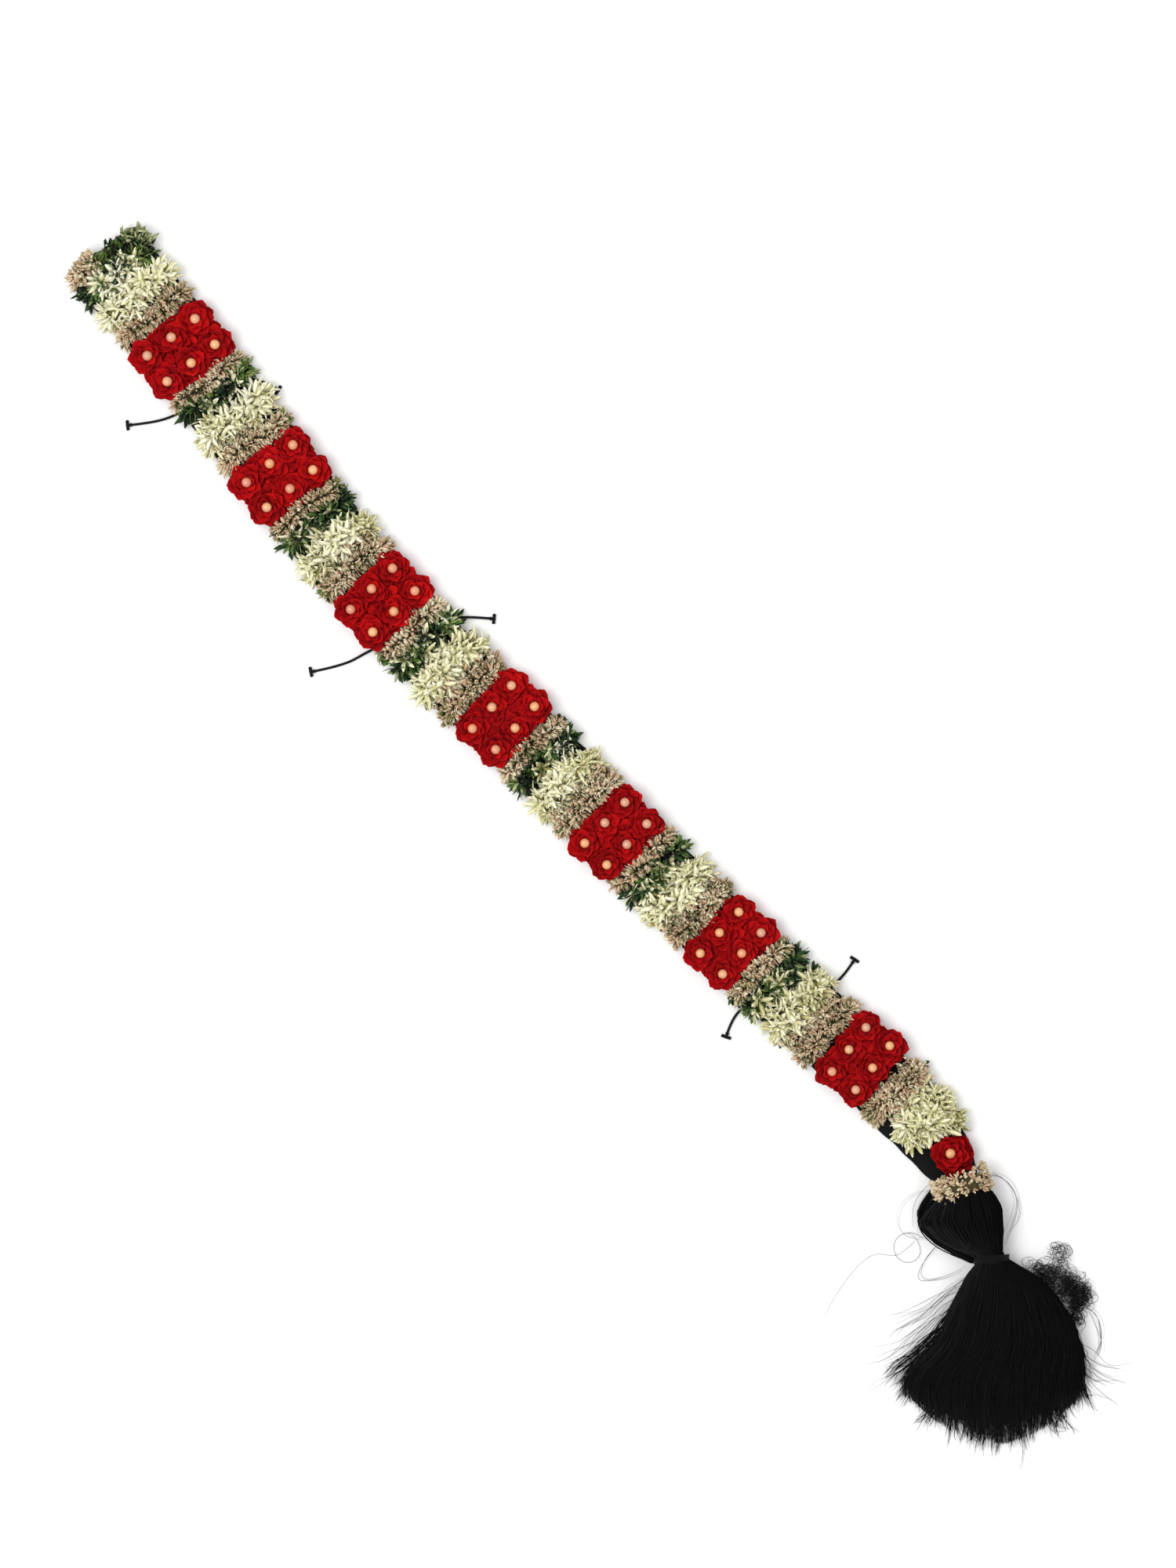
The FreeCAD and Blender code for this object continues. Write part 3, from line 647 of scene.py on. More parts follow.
def crimp_bar(name, route, replaced):
    """The sleeve pinched on the cord's end and the rod across it."""
    last, before = np.array([*route[-1], BAR_HEIGHT]), np.array([*route[-2], BAR_HEIGHT])
    way = unit(last - before)
    across = np.array([-way[1], way[0], 0.0])
    pile = Pile()
    sleeve = [(0.0, 0.75), (0.15, 1.05), (0.7, 1.1), (1.1, 0.85), (1.5, 0.85), (1.9, 1.1), (2.6, 1.1)]
    half_rod = [(0.0, 1.05), (1.2, 0.9), (2.6, 1.0), (2.9, 0.75), (3.0, 0.35)]
    rod = [(-step, radius) for step, radius in half_rod[:0:-1]] + half_rod
    middle = last + way * sleeve[-1][0]
    for rows, origin, direction in ((sleeve, last, way), (rod, middle, across)):
        line = [origin + direction * step for step, _ in rows]
        points = round_tube(line, [radius for _, radius in rows])
        pile.add(points.reshape(1, -1, 3), tube_faces(*points.shape[:2]), 0.5, 0.5)
    return pile.piece(name, dark["crimp_bar_plastic"], replaced, lowest=0.05)


# %% Tie them on
for tie, halves in TIES.items():
    for number, (half, route) in enumerate(halves.items()):
        cord = elastic_cord(f"tie_cord_{tie}_{half}", route)
        bar = crimp_bar(f"tie_bar_{tie}_{half}", route, [f"tie_bars_{tie}"])
        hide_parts(f"tie_cord_{tie}")

# %% [markdown]
# ## The cloth strip
# The strip is black cloth folded over and stitched along both edges, about 3 mm thick. It hardly
# shows from above, but its edge peeps out between the rolls and near the tail. It could be a plain
# slab. Here it is a fine closed sheet instead, with rounded edges, a stitched hem, a slight
# waviness, and a raised tunnel under it wherever an elastic cord passes.

# %% The cloth strip
# Heights in mm: the rounded edge, and how far the faces stand above and below it
CLOTH_EDGE, CLOTH_RISE, CLOTH_DROP = 1.5, 1.25, 1.4
# The hem is a groove: its depth in mm, its place and its width in shares of the half width
HEM_DEPTH, HEM_AT, HEM_WIDTH = 0.35, 0.86, 0.05
STRIP_ROWS, STRIP_COLUMNS, TUNNEL_HEIGHT = 420, 26, 2.1


def strip_section():
    """One closed ring of the strip's section: shares of the half width, top and bottom, in order."""
    share = np.sin(np.linspace(-1, 1, STRIP_COLUMNS) * math.pi / 2)
    return np.array([(s, 1.0) for s in share] + [(s, 0.0) for s in share[::-1]])


def distance_to_ties(x, y):
    """How far each place is from the nearest cord, in mm."""
    nearest = np.full(x.shape, 1e9)
    for halves in TIES.values():
        for route in halves.values():
            for (ax, ay), (bx, by) in zip(route, route[1:]):
                share = ((x - ax) * (bx - ax) + (y - ay) * (by - ay)) / ((bx - ax) ** 2 + (by - ay) ** 2)
                share = np.clip(share, 0, 1)
                away = np.hypot(x - ax - share * (bx - ax), y - ay - share * (by - ay))
                nearest = np.minimum(nearest, away)
    return nearest


section = strip_section()
down = np.linspace(0.6, STRIP_LENGTH - 0.6, STRIP_ROWS)
half = np.interp(down, fine_down, fine_half)
ragged = 0.35 * np.sin(down / 7.0) + 0.25 * np.sin(down / 2.9 + 1.0)
share, level = section.T
side = (half + ragged - 0.3)[:, None] * share
places = on_strip(down[:, None] + 0.0 * side, side, 0.0)
edge = 1.0 - np.abs(share) ** 6
hem = HEM_DEPTH * np.exp(-((np.abs(share) - HEM_AT) / HEM_WIDTH) ** 2)
wave = 0.15 * np.sin(down / 11.0)[:, None] * np.cos(3.0 * share)
tunnel = np.clip(1.4 - 0.5 * distance_to_ties(places[..., 0], places[..., 1]) / 1.7, 0, 1)
top_height = CLOTH_EDGE + (CLOTH_RISE - hem) * edge + wave * edge
raised = np.maximum(0.0, TUNNEL_HEIGHT * tunnel - 0.1)
bottom_height = CLOTH_EDGE - CLOTH_DROP * edge + raised * edge
places[..., 2] = np.where(level > 0.5, top_height, np.minimum(bottom_height, top_height - 0.4))
pile = Pile()
pile.add(places.reshape(1, -1, 3), tube_faces(len(down), len(section)), 0.5, 0.5)
strip = pile.piece(
    "backing_cloth_strip", dark["black_backing_cloth"], ["backing_strip"], lowest=0.05,
)

# %% [markdown]
# ## Rolls of petals
# Each roll is a string of petals sewn across the strip in a half round. A core fills its
# inside, so that nothing shows through, and the petals stand on the core and point outwards. The
# core wears the dark root colour, painted shade between the petals. The spots are spread over the
# half round by the golden ratio, which fills a surface evenly without rows.
# The cream roll is made of small open stars, the tan roll of short closed buds, and the green roll
# of single leaf tips. The border between two rolls waves a little, and some petals stray over it, as
# they do on a garland tied by hand.

# %% Roll layout
BLOCKS = [
    # in mm and degrees: the distance of each red block's middle from the head end, its shift and its turn
    (72.4, -0.8, -0.6), (164.0, -0.4, 1.0), (256.2, -0.4, 2.2), (352.6, 1.1, 2.0),
    (445.0, -0.6, 0.5), (535.8, 0.0, 0.0), (635.4, 1.6, 5.5),
]
# In mm at the head end; the kinds of roll in order, each with its share of the room up to a block
HALF_WIDTH = {"tan": 26.0, "green": 25.5, "cream": 27.0}
HEIGHT = {"tan": 12.5, "green": 11.0, "cream": 17.0}
HEAD_ROLLS = [("tan", 0.20), ("green", 0.21), ("cream", 0.41), ("tan", 0.18)]
ROLLS_BETWEEN = [("tan", 0.13), ("green", 0.22), ("cream", 0.47), ("tan", 0.18)]
# Each tail roll in mm: where it starts and ends, its half width and its shift to the side
TAIL_ROLLS = [("tan", 656.8, 670.8, 21.0, 1.5), ("cream", 670.8, 700.8, 17.0, 3.8)]
# The single blossom near the tail: how far down and to the side, and how far petals keep off it
LAST_BLOSSOM, CLEAR_ROUND_LAST = (709.6, 3.2), 14.0


def block_half_length(down, turn):
    """Half the length of strip that one block of blossoms takes up."""
    return (19.6 + 16.8 * math.sin(math.radians(abs(turn)))) * taper(down) + 0.5


rolls = []
start = -3.5
for number, (middle, _, turn) in enumerate(BLOCKS):
    stop = middle - block_half_length(middle, turn)
    first, length = start, stop - start
    for kind, part in ROLLS_BETWEEN if number else HEAD_ROLLS:
        rolls.append((kind, start, start + part * length, HALF_WIDTH[kind] * taper(start), 0.0))
        start += part * length
    start = middle + block_half_length(middle, turn)
rolls += TAIL_ROLLS
print(len(rolls), "rolls")

# %% Roll spots and cores
GOLDEN_SHARE, ROLL_MARGIN, ROLL_GAP = 0.6180339887, 0.05, 0.4


def roll_size(roll):
    """The middle of a roll along the strip, half its length, and its height."""
    kind, first, last = roll[:3]
    middle = (first + last) / 2
    return middle, (last - first - ROLL_GAP) / 2, HEIGHT[kind] * taper(middle)


def strip_axes(down, shift, reach=1.0):
    """A place on the strip, and the directions up the strip and to its right there."""
    ends = on_strip(np.array([down - reach, down + reach]), shift, SEAT)
    up_strip = unit(ends[0] - ends[1])
    return ends.mean(axis=0), up_strip, np.array([up_strip[1], -up_strip[0], 0.0])


def roll_spots(roll, count, depth, inset):
    """Places over a roll at a share of its full size, and the direction that each faces."""
    kind, first, _, half_width, shift = roll
    middle, half_length, height = roll_size(roll)
    i = np.arange(count)
    across = 0.96 * (2 * ((i + 0.5) / count) - 1) + chance.normal(0, 0.1 / count ** 0.5, count)
    across = np.clip(across, -0.97, 0.97)
    share = ROLL_MARGIN + (1 - 2 * ROLL_MARGIN) * ((i * GOLDEN_SHARE) % 1.0)
    angle = math.pi * share + chance.normal(0, 0.06, count)
    full = np.sqrt(1 - across ** 4) * depth
    side = across * (half_width - inset)
    ahead, up = -np.cos(angle) * half_length * full, np.sin(angle) * height * full
    # The border of a roll waves a little, so the colours reach into each other
    sway = 0.6 if kind == "tan" else 1.0
    ahead = ahead + sway * (1.8 * np.sin(side / 5.5 + first) + 0.8 * np.sin(side / 2.3 + 2.0 * first))
    way = unit(np.stack([
        4 * across ** 3 / half_width, -np.cos(angle) / half_length, np.abs(np.sin(angle)) / height,
    ], axis=-1))
    base = on_strip(middle - ahead, side + shift, SEAT + np.maximum(up, 0.4))
    # The strip is nearly straight, so one turn carries all the directions of a roll
    _, up_strip, right = strip_axes(middle, shift, 5.0)
    frame_way = way[:, :1] * right + way[:, 1:2] * up_strip + way[:, 2:] * [0.0, 0.0, 1.0]
    return base, frame_way, side


# %% Stray petals and patches


def spread(low, high, count):
    """Even chance between two ends."""
    return chance.uniform(low, high, count)


def with_strays(base, axis, strays):
    """The places and directions of a roll, with some scattered over other parts of the strip."""
    for count, downs, sides, heights in strays:
        spots = on_strip(spread(*downs, count), spread(*sides, count), spread(*heights, count))
        ways = unit(chance.normal(0, 0.45, spots.shape) + [0.0, 0.0, 1.0])
        base, axis = np.vstack([base, spots]), np.vstack([axis, ways])
    return base, axis


def clear_of_last(base, axis):
    """The places that are CLEAR_ROUND_LAST mm or more from the single blossom near the tail."""
    clear = np.hypot(*(base - on_strip(*LAST_BLOSSOM, 0.0))[:, :2].T) > CLEAR_ROUND_LAST
    return base[clear], axis[clear]


def patches(base, size, amount):
    """A steady number round 0 that drifts from place to place, so that neighbours look alike."""
    x, y = base[:, 0] / size, base[:, 1] / size
    return amount * (np.sin(x + 1.7 * np.sin(0.6 * y)) + np.sin(0.8 * y + 1.3 * np.cos(0.9 * x)))


# %% Roll cores


def add_core(pile, roll, share):
    """The dark inside of a roll: a lumpy half round at a share of its full size, in painted shade."""
    half_width, shift = roll[3:]
    middle, half_length, height = roll_size(roll)
    rows, ring = 22, 11
    across = np.linspace(-1, 1, rows) * 0.93
    angle = np.linspace(0, math.pi, ring)
    full = np.sqrt(1 - (across / 0.98) ** 4)[:, None] * share
    lumps = 1.0 + 0.12 * np.sin(3.1 * np.arange(rows))[:, None] * np.cos(2.3 * np.arange(ring) + 1)
    ahead = -np.cos(angle) * half_length * np.maximum(full, 0.1) * lumps
    up = np.sin(angle) * height * full * lumps
    side = across[:, None] * half_width + 0.0 * ahead
    places = on_strip(middle - ahead, side + shift, SEAT + up - 0.2)
    # Along 0 gives the core the root colour of its petals: painted shade between them
    pile.add(places.reshape(1, -1, 3), tube_faces(rows, ring), 0.0, 0.5)


# %% Cream stars
CREAM_OUTLINE = [(0.0, 0.40), (0.22, 0.72), (0.5, 1.0), (0.76, 0.84), (0.92, 0.46), (1.0, 0.08)]
STAR_PETALS = 6


def cream_roll(roll, name, node, inset, strays):
    """Open stars of six petals, with single petals between them."""
    pile = Pile()
    add_core(pile, roll, 0.5)
    stars = int((roll[2] - roll[1]) * roll[3] / 15.0)
    base, axis, _ = roll_spots(roll, stars, 0.56, inset)
    base, axis = clear_of_last(*with_strays(base, axis, strays))
    stars = len(base)
    axis = unit(axis + chance.normal(0, 0.35, axis.shape))
    out, face = flower_petals(axis, STAR_PETALS, spread(0.5, 1.25, stars), 0.16)
    petals = len(out)
    lot = 0.68 - 0.36 * roll[1] / STRIP_LENGTH + patches(base, 6.0, 0.14) + chance.normal(0, 0.18, stars)
    lot = np.clip(np.repeat(lot, STAR_PETALS) + chance.normal(0, 0.12, petals), 0, 1)
    add_petals(
        pile, np.repeat(base, STAR_PETALS, axis=0), out, face, length=spread(7.0, 11.6, petals),
        width=spread(2.3, 3.5, petals), bend=spread(-0.9, 0.1, petals), lot=lot,
        outline=CREAM_OUTLINE, ring=KEEL_RING, thick=0.7, cup=0.2,
    )
    base, axis, _ = roll_spots(roll, int(stars * 2.2), 0.5, inset - 0.5)
    base, axis = clear_of_last(base, axis)
    singles = len(base)
    out = unit(axis + chance.normal(0, 0.5, axis.shape))
    face = np.cross(out, unit(chance.normal(0, 1, out.shape)))
    add_petals(
        pile, base, out, unit(face), length=spread(5.5, 9.0, singles),
        width=spread(1.9, 2.9, singles), bend=spread(-0.5, 0.5, singles),
        lot=spread(0.0, 0.75, singles), outline=CREAM_OUTLINE, ring=KEEL_RING, thick=0.7, cup=0.2,
    )
    return pile.piece(name, cream_cloth, [node], lowest=0.6)


# %% Tan buds and green tips
BUD_OUTLINE = [(0.0, 0.5), (0.35, 0.95), (0.72, 1.0), (1.0, 0.3)]
LEAF_OUTLINE = [(0.0, 0.4), (0.25, 0.85), (0.55, 1.0), (0.82, 0.6), (1.0, 0.06)]


def tan_roll(roll, name, node, inset, strays, widest=99.0):
    """Pairs of short buds, on the places that are less than widest to the side."""
    pile = Pile()
    add_core(pile, roll, 0.7)
    count = int((roll[2] - roll[1] + 3.0) * roll[3] * 0.95)
    base, axis, side = roll_spots(roll, count, 0.74, inset)
    base, axis = with_strays(base[side < widest], axis[side < widest], strays)
    count = len(base)
    axis = unit(axis + chance.normal(0, 0.38, axis.shape))
    out, face = flower_petals(axis, 2, spread(0.15, 0.7, count), 0.14)
    petals = len(out)
    lot = 0.55 + patches(base, 4.5, 0.16) + chance.normal(0, 0.22, count)
    lot = np.where(chance.random(count) < 0.14, 1.0, lot)
    lot = np.clip(np.repeat(lot, 2) + chance.normal(0, 0.14, petals), 0, 1)
    add_petals(
        pile, np.repeat(base, 2, axis=0), out, face, length=spread(3.4, 6.2, petals),
        width=spread(1.4, 2.4, petals), bend=spread(0.1, 1.2, petals), lot=lot,
        outline=BUD_OUTLINE, ring=SMALL_RING, thick=0.6,
    )
    return pile.piece(name, tan_cloth, [node], lowest=0.6)


def add_leaves(pile, base, axis, lot, longest=9.6):
    """Single leaf tips on their places, roughly along an axis."""
    count = len(base)
    out = unit(axis + chance.normal(0, 0.42, axis.shape))
    face = unit(np.cross(out, unit(chance.normal(0, 1, out.shape))))
    add_petals(
        pile, base, out, face, length=spread(0.58, 1.0, count) * longest,
        width=spread(2.0, 3.2, count), bend=spread(-0.7, 0.7, count), lot=np.clip(lot, 0, 1),
        outline=LEAF_OUTLINE, ring=SMALL_RING, thick=0.5, cup=0.15,
    )


def green_roll(roll, name, node):
    """Leaf tips, dark and bright in patches, with a few pale ones among them."""
    pile = Pile()
    add_core(pile, roll, 0.6)
    count = int((roll[2] - roll[1]) * roll[3] * 1.1)
    base, axis, _ = roll_spots(roll, count, 0.55, 2.0)
    lot = 0.38 + patches(base, 4.0, 0.20) + chance.normal(0, 0.15, count)
    lot = np.where(chance.random(count) < 0.17, spread(0.8, 1.0, count), lot)
    add_leaves(pile, base, axis, lot)
    return pile.piece(name, green_cloth, [node], lowest=0.6)


# %% Make the rolls
USUAL_INSET = {"tan": 1.5, "cream": 3.5}
TAIL_INSET = {"tan_roll_15": 0.0, "cream_roll_8": 1.0}
STRAYS = {
    # how many, then between which distances down, to the side and up
    "cream_roll_1": [(13, (11.0, 19.0), (-16.0, 10.0), (8.0, 11.0))],
    "tan_roll_15": [(150, (654.5, 673.0), (-18.0, 22.0), (4.5, 9.0))],
    "cream_roll_8": [
        (26, (671.0, 700.0), (-9.0, 18.0), (5.0, 9.0)), (9, (694.0, 701.0), (13.0, 17.0), (3.0, 5.0)),
    ],
}


def strays_of(kind, number, start):
    """The petals of a roll that stray: rules for most rolls, the table for three of them."""
    if kind == "cream" and 1 < number < 8:
        return [(1 + number, (start - 9.0, start), (-19.0, 19.0), (6.0, 9.5))]
    if kind == "tan" and number % 2 == 0:
        return [(6 * number, (start - 6.5, start), (-22.0, 22.0), (9.0, 13.5))]
    return STRAYS.get(f"{kind}_roll_{number}", [])


numbers = dict.fromkeys(HEIGHT, 0)
for roll in rolls:
    kind = roll[0]
    numbers[kind] += 1
    name, node = f"{kind}_roll_{numbers[kind]}", f"{kind}_garland_{numbers[kind]}"
    if kind == "green":
        green_roll(roll, name, node)
        continue
    inset = TAIL_INSET.get(name, USUAL_INSET[kind])
    strays = strays_of(kind, numbers[kind], roll[1])
    if kind == "cream":
        cream_roll(roll, name, node, inset, strays)
    else:
        # At the head end the first roll has buds at its left alone
        tan_roll(roll, name, node, inset, strays, -5.0 if name == "tan_roll_1" else 99.0)

# %% [markdown]
# ## Sprigs and the head end
# A garland is never sorted cleanly by colour. Green leaf tips are tied in at the head end and poke
# out beside some of the tan rolls, and small black tufts of the thread that ties the buds stand at
# the edges of the strip. Each sprig is a few leaf tips that fan out from one spot.

# %% Sprigs and tufts
SPRIGS = [
    # the spot (down, side, height) in mm, how many leaf tips, their lot, their longest and loose size
    (4.0, -3.0, 11.0, 50, 0.68, 6.0, 2.8), (4.0, 7.0, 9.5, 80, 0.16, 6.0, 3.2),
    (8.0, 17.0, 8.0, 30, 0.35, 7.0, 3.6), (3.0, 17.0, 10.5, 20, 0.93, 9.5, 2.2),
    (6.5, 21.5, 9.0, 18, 0.90, 9.5, 2.4), (12.0, 22.0, 8.0, 12, 0.88, 8.0, 2.2),
    (12.0, -20.0, 8.0, 60, 0.0, 6.5, 2.8), (5.0, 12.0, 10.5, 16, 0.66, 7.0, 2.6),
    (2.5, -11.0, 7.0, 12, 0.80, 5.5, 1.8), (15.0, -16.0, 10.0, 10, 0.66, 6.0, 2.2),
    (581.0, 21.0, 4.0, 5, 0.40, 7.5, 0.5), (662.0, 21.0, 5.0, 10, 0.30, 6.0, 2.0),
    (684.0, 14.0, 7.0, 10, 0.55, 6.0, 2.5),
]
for middle, _, turn in BLOCKS[:6]:
    reach = block_half_length(middle, turn)
    for edge, share in ((-1, 0.8), (1, 0.55)):
        # Some of the blocks get a green sprig on this side, and each gets a black tuft
        if chance.random() < share:
            lot, spot = chance.uniform(0.55, 0.75), chance.uniform(17.0, 22.0) * chance.choice([-1, 1])
            SPRIGS.append((middle + edge * (reach + 4.0), spot, 8.0, 12, lot, 6.5, 2.0))
        spot = chance.uniform(19.0, 21.0) * chance.choice([-1, 1])
        SPRIGS.append((middle + edge * (reach + chance.uniform(3.0, 12.0)), spot, 4.0, 16, 0.03, 4.2, 1.6))
pile = Pile()
for down, side, height, count, lot, longest, loose in SPRIGS:
    spot = on_strip(np.full(count, down), side, height)
    base = spot + chance.normal(0, loose, (count, 3)) * [1.0, 1.0, 0.4]
    root = on_strip(np.full(count, max(down, 12.0)), 0.3 * side, 2.0)
    lots = lot + chance.normal(0, 0.08, count)
    add_leaves(pile, base, 0.8 * unit(spot - root) + [0, 0, 0.5], lots, longest)
pile.piece("green_sprigs", green_cloth, ["tan_garland_1"], lowest=0.6)

# %% [markdown]
# ## Red blossoms
# A blossom is four rings of broad, pointed petals stamped from red cloth, pressed into a shallow cup
# on a small cone, with a bead in its middle. Six of them make a block, and their petals push over
# each other. Small extra rings without a cone are the filling between them, so that no cloth shows
# through. The petals could be flat, but eight corners round keep a crease and a rolled edge.
# The beads are solids of the frame, round already, and only get the pearl finish.

# %% One blossom
RED_OUTLINE = [(0.0, 0.30), (0.2, 0.66), (0.45, 0.97), (0.68, 0.97), (0.88, 0.60), (1.0, 0.10)]
RED_LAYERS = [
    # petals, turn, foot radius, foot height, length, width, opening and bend in radians
    (6, 15.0, 2.2, 3.4, 9.6, 9.8, 1.42, 0.10),
    (6, 0.0, 1.5, 5.2, 11.0, 10.4, 1.26, 0.35),
    (6, 30.0, 1.4, 5.6, 9.8, 9.0, 1.02, 0.25),
    (6, 8.0, 1.2, 5.9, 7.0, 6.2, 0.70, -0.25),
]
# The filling between blossoms: its rings, and its spots in a block as (along a row, up the strip)
FILLING = [(5, 0.0, 0.7, 4.6, 8.0, 8.6, 1.12, 0.30), (5, 20.0, -2.6, 6.2, 6.6, 6.6, 1.38, 0.15)]
FILLING_SPOTS = [(x, y) for y in (0.0, 12.4, -12.4) for x in (-8.4, 8.4)]
FILLING_SPOTS += [(-19.0, 0.0), (19.0, 0.0), (0.0, 0.0)]
# In a block: from column to column, from row to row, the lean of the outer columns in degrees,
# and the height of a bead's middle over the foot of its blossom
COLUMN_STEP, ROW_STEP, LEAN, BEAD_RISE = 16.8, 18.8, 4.0, 9.1


def turned(vectors, degrees, axis):
    """Vectors turned round Y or Z."""
    c, s = math.cos(math.radians(degrees)), math.sin(math.radians(degrees))
    matrix = {
        "y": [[c, 0, s], [0, 1, 0], [-s, 0, c]],
        "z": [[c, -s, 0], [s, c, 0], [0, 0, 1]],
    }[axis]
    return vectors @ np.array(matrix).T


def add_blossom(pile, foot, scale, spin, lean, heading, layers=RED_LAYERS, bright=1.0):
    """One blossom on its foot, spun round its axis, leaned over and turned to its block."""

    def settle(vectors):
        """Directions or places of an upright blossom, turned to where this one stands."""
        return turned(turned(turned(vectors, spin, "z"), lean, "y"), heading, "z")

    upright = np.array([0.0, 0.0, 1.0])
    for count, turn, radius, height, length, width, opening, bend in layers:
        angle = np.radians(turn) + 2 * math.pi * np.arange(count) / count + chance.normal(0, 0.07, count)
        side = np.stack([np.cos(angle), np.sin(angle), 0 * angle], axis=-1)
        opened = (opening + chance.normal(0, 0.09, count))[:, None]
        out = upright * np.cos(opened) + side * np.sin(opened)
        face = upright * np.sin(opened) - side * np.cos(opened)
        base = (side * radius + upright * height) * scale
        add_petals(
            pile, foot + settle(base), settle(out), settle(face),
            length=length * scale * spread(0.92, 1.06, count),
            width=width * scale * spread(0.92, 1.08, count),
            bend=bend + chance.normal(0, 0.12, count), lot=spread(0.0, bright, count),
            outline=RED_OUTLINE, ring=BROAD_RING, thick=0.5, cup=0.32, crease=0.10,
        )
    if layers is FILLING:
        return
    # The cone that carries the petals and the bead, in the dark root colour: painted shade under the petals
    rows = [(0.0, 4.0), (1.8, 3.5), (3.6, 2.9), (5.0, 2.6), (6.0, 2.6), (6.3, 1.4)]
    line = np.array([(0.0, 0.0, z) for z, _ in rows]) * scale
    points = round_tube(line, [radius * scale for _, radius in rows])
    pile.add((foot + settle(points.reshape(-1, 3)))[None], tube_faces(*points.shape[:2]), 0.0, 0.3)


# %% The beads' places
BEAD_REACH = 7.0


def bead_centres(node):
    """The middles of the beads of a node. Points less than BEAD_REACH mm apart are one bead."""
    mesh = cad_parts[node].data
    points = np.empty(3 * len(mesh.vertices))
    mesh.vertices.foreach_get("co", points)
    left = points.reshape(-1, 3) / MM
    middles = []
    while len(left):
        near = np.linalg.norm(left - left[0], axis=1) < BEAD_REACH
        middles.append((left[near].min(axis=0) + left[near].max(axis=0)) / 2)
        left = left[~near]
    return np.array(middles)


def heading_of(way):
    """The turn in degrees that brings the Y axis to a direction in plan."""
    return math.degrees(math.atan2(-way[0], way[1]))


# %% Blocks of six
for number, (middle, shift, turn) in enumerate(BLOCKS, start=1):
    scale = taper(middle)
    centre, up_strip, _ = strip_axes(middle, shift)
    heading = heading_of(up_strip) + turn
    pile = Pile()
    found = bead_centres(f"blossom_beads_{number}")
    off = []
    for row in (0, 1):
        for column in (-1, 0, 1):
            lean = LEAN * column
            lifted = 4.0 * scale * math.sin(math.radians(abs(lean)))
            spot = np.array([column * COLUMN_STEP * scale, (0.5 - row) * ROW_STEP * scale, lifted])
            foot = centre + turned(spot, heading, "z")
            rise = turned(turned(np.array([0.0, 0.0, BEAD_RISE * scale]), lean, "y"), heading, "z")
            off.append(np.linalg.norm(found - foot - rise, axis=1).min())
            bright = chance.uniform(0.8, 1.1) - 0.35 * middle / STRIP_LENGTH
            spin = 30.0 * ((column + row) % 2)
            add_blossom(pile, foot, scale, spin, lean, heading, RED_LAYERS, bright)
    for spot in FILLING_SPOTS:
        foot = centre + turned(np.array([*spot, 0.0]) * scale, heading, "z")
        add_blossom(pile, foot, scale, chance.uniform(0, 72), 0.0, heading, FILLING)
    print("block", number, "beads off by at most", round(max(off), 2), "mm")
    name, node = f"red_blossom_petals_{number}", f"red_blossoms_{number}"
    pile.piece(name, red_cloth, [node], lowest=3.0)

# %% The last blossom
centre, up_strip, right = strip_axes(*LAST_BLOSSOM)
pile = Pile()
add_blossom(pile, centre, 0.98, 0.0, 0.0, heading_of(up_strip) + 12.0, RED_LAYERS, 0.55)
for across, up in ((7.5, 2.0), (7.5, -4.0), (3.5, -8.0), (-3.5, -8.0)):
    foot = centre + right * across + up_strip * up
    add_blossom(pile, foot, 0.8, chance.uniform(0, 72), 0.0, 0.0, FILLING, 0.5)
pile.piece("red_blossom_petals_last", red_cloth, ["red_blossom_last"], lowest=3.0)

# %% Pearl the beads
for name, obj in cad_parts.items():
    if name.startswith("blossom_bead"):
        for place in obj.material_slots:
            place.material = pearl
        print(name, "gets the pearl finish")

# %% [markdown]
# ## The tassel
# The tassel is a thick hank of black yarn: a bulb under a collar of buds, a neck wound with thread,
# and a skirt that fans out flat on the table. Its body is a smooth dark form through the measured
# sections, and many hundreds of single strands run over it from the collar to their own ends, drawn
# together into locks. Where the bulb sags at its left and where the skirt frays, loose strands
# follow a few listed places. A tassel could be hair particles too, but real tubes keep
# their shape in every renderer.

# %% Tassel frame and sections
TASSEL_AT, TASSEL_TURN = np.array([9.3, -367.2, 0.0]), -43.0
# The tips of the skirt follow a round cut, CUT_DEPTH mm deep from its middle to its sides
CUT_DEPTH, CUT_POWER = 27.0, 1.9
SECTIONS = np.array([
    # side, down, half width, half height, height of the centre, turn: from the top of the bulb down
    (-1.6, -4.5, 12.6, 7.0, 12.4, 19.0), (0.0, 0.0, 12.8, 7.4, 12.9, 19.0),
    (-0.8, 12.6, 22.0, 12.4, 13.0, 12.0), (-0.3, 19.0, 23.0, 14.2, 14.6, 6.0),
    (2.6, 26.0, 20.8, 13.4, 13.9, 0.0), (8.2, 34.4, 14.8, 10.4, 11.6, 0.0),
    (16.9, 41.1, 9.0, 7.8, 10.4, 0.0), (22.0, 49.5, 18.0, 9.6, 10.6, 0.0),
    (24.8, 58.0, 25.5, 11.0, 11.4, 0.0), (26.2, 71.0, 33.4, 11.6, 11.8, 0.0),
    (27.0, 84.0, 39.0, 11.4, 11.6, 0.0), (24.3, 97.5, 45.0, 10.2, 10.4, 0.0),
    (18.6, 112.0, 50.4, 8.0, 8.2, 0.0), (19.0, 148.0, 49.0, 4.0, 4.2, 0.0),
])
# The stations where the bulb, the neck and the tips of the skirt are
BULB_TOP, NECK, TIPS = 0.2, 6, 13.0


def from_tassel(side, down, height):
    """Places in the frame from the tassel's own measures."""
    local = np.stack(np.broadcast_arrays(side, -np.asarray(down), height), axis=-1)
    return TASSEL_AT + turned(local, TASSEL_TURN, "z")


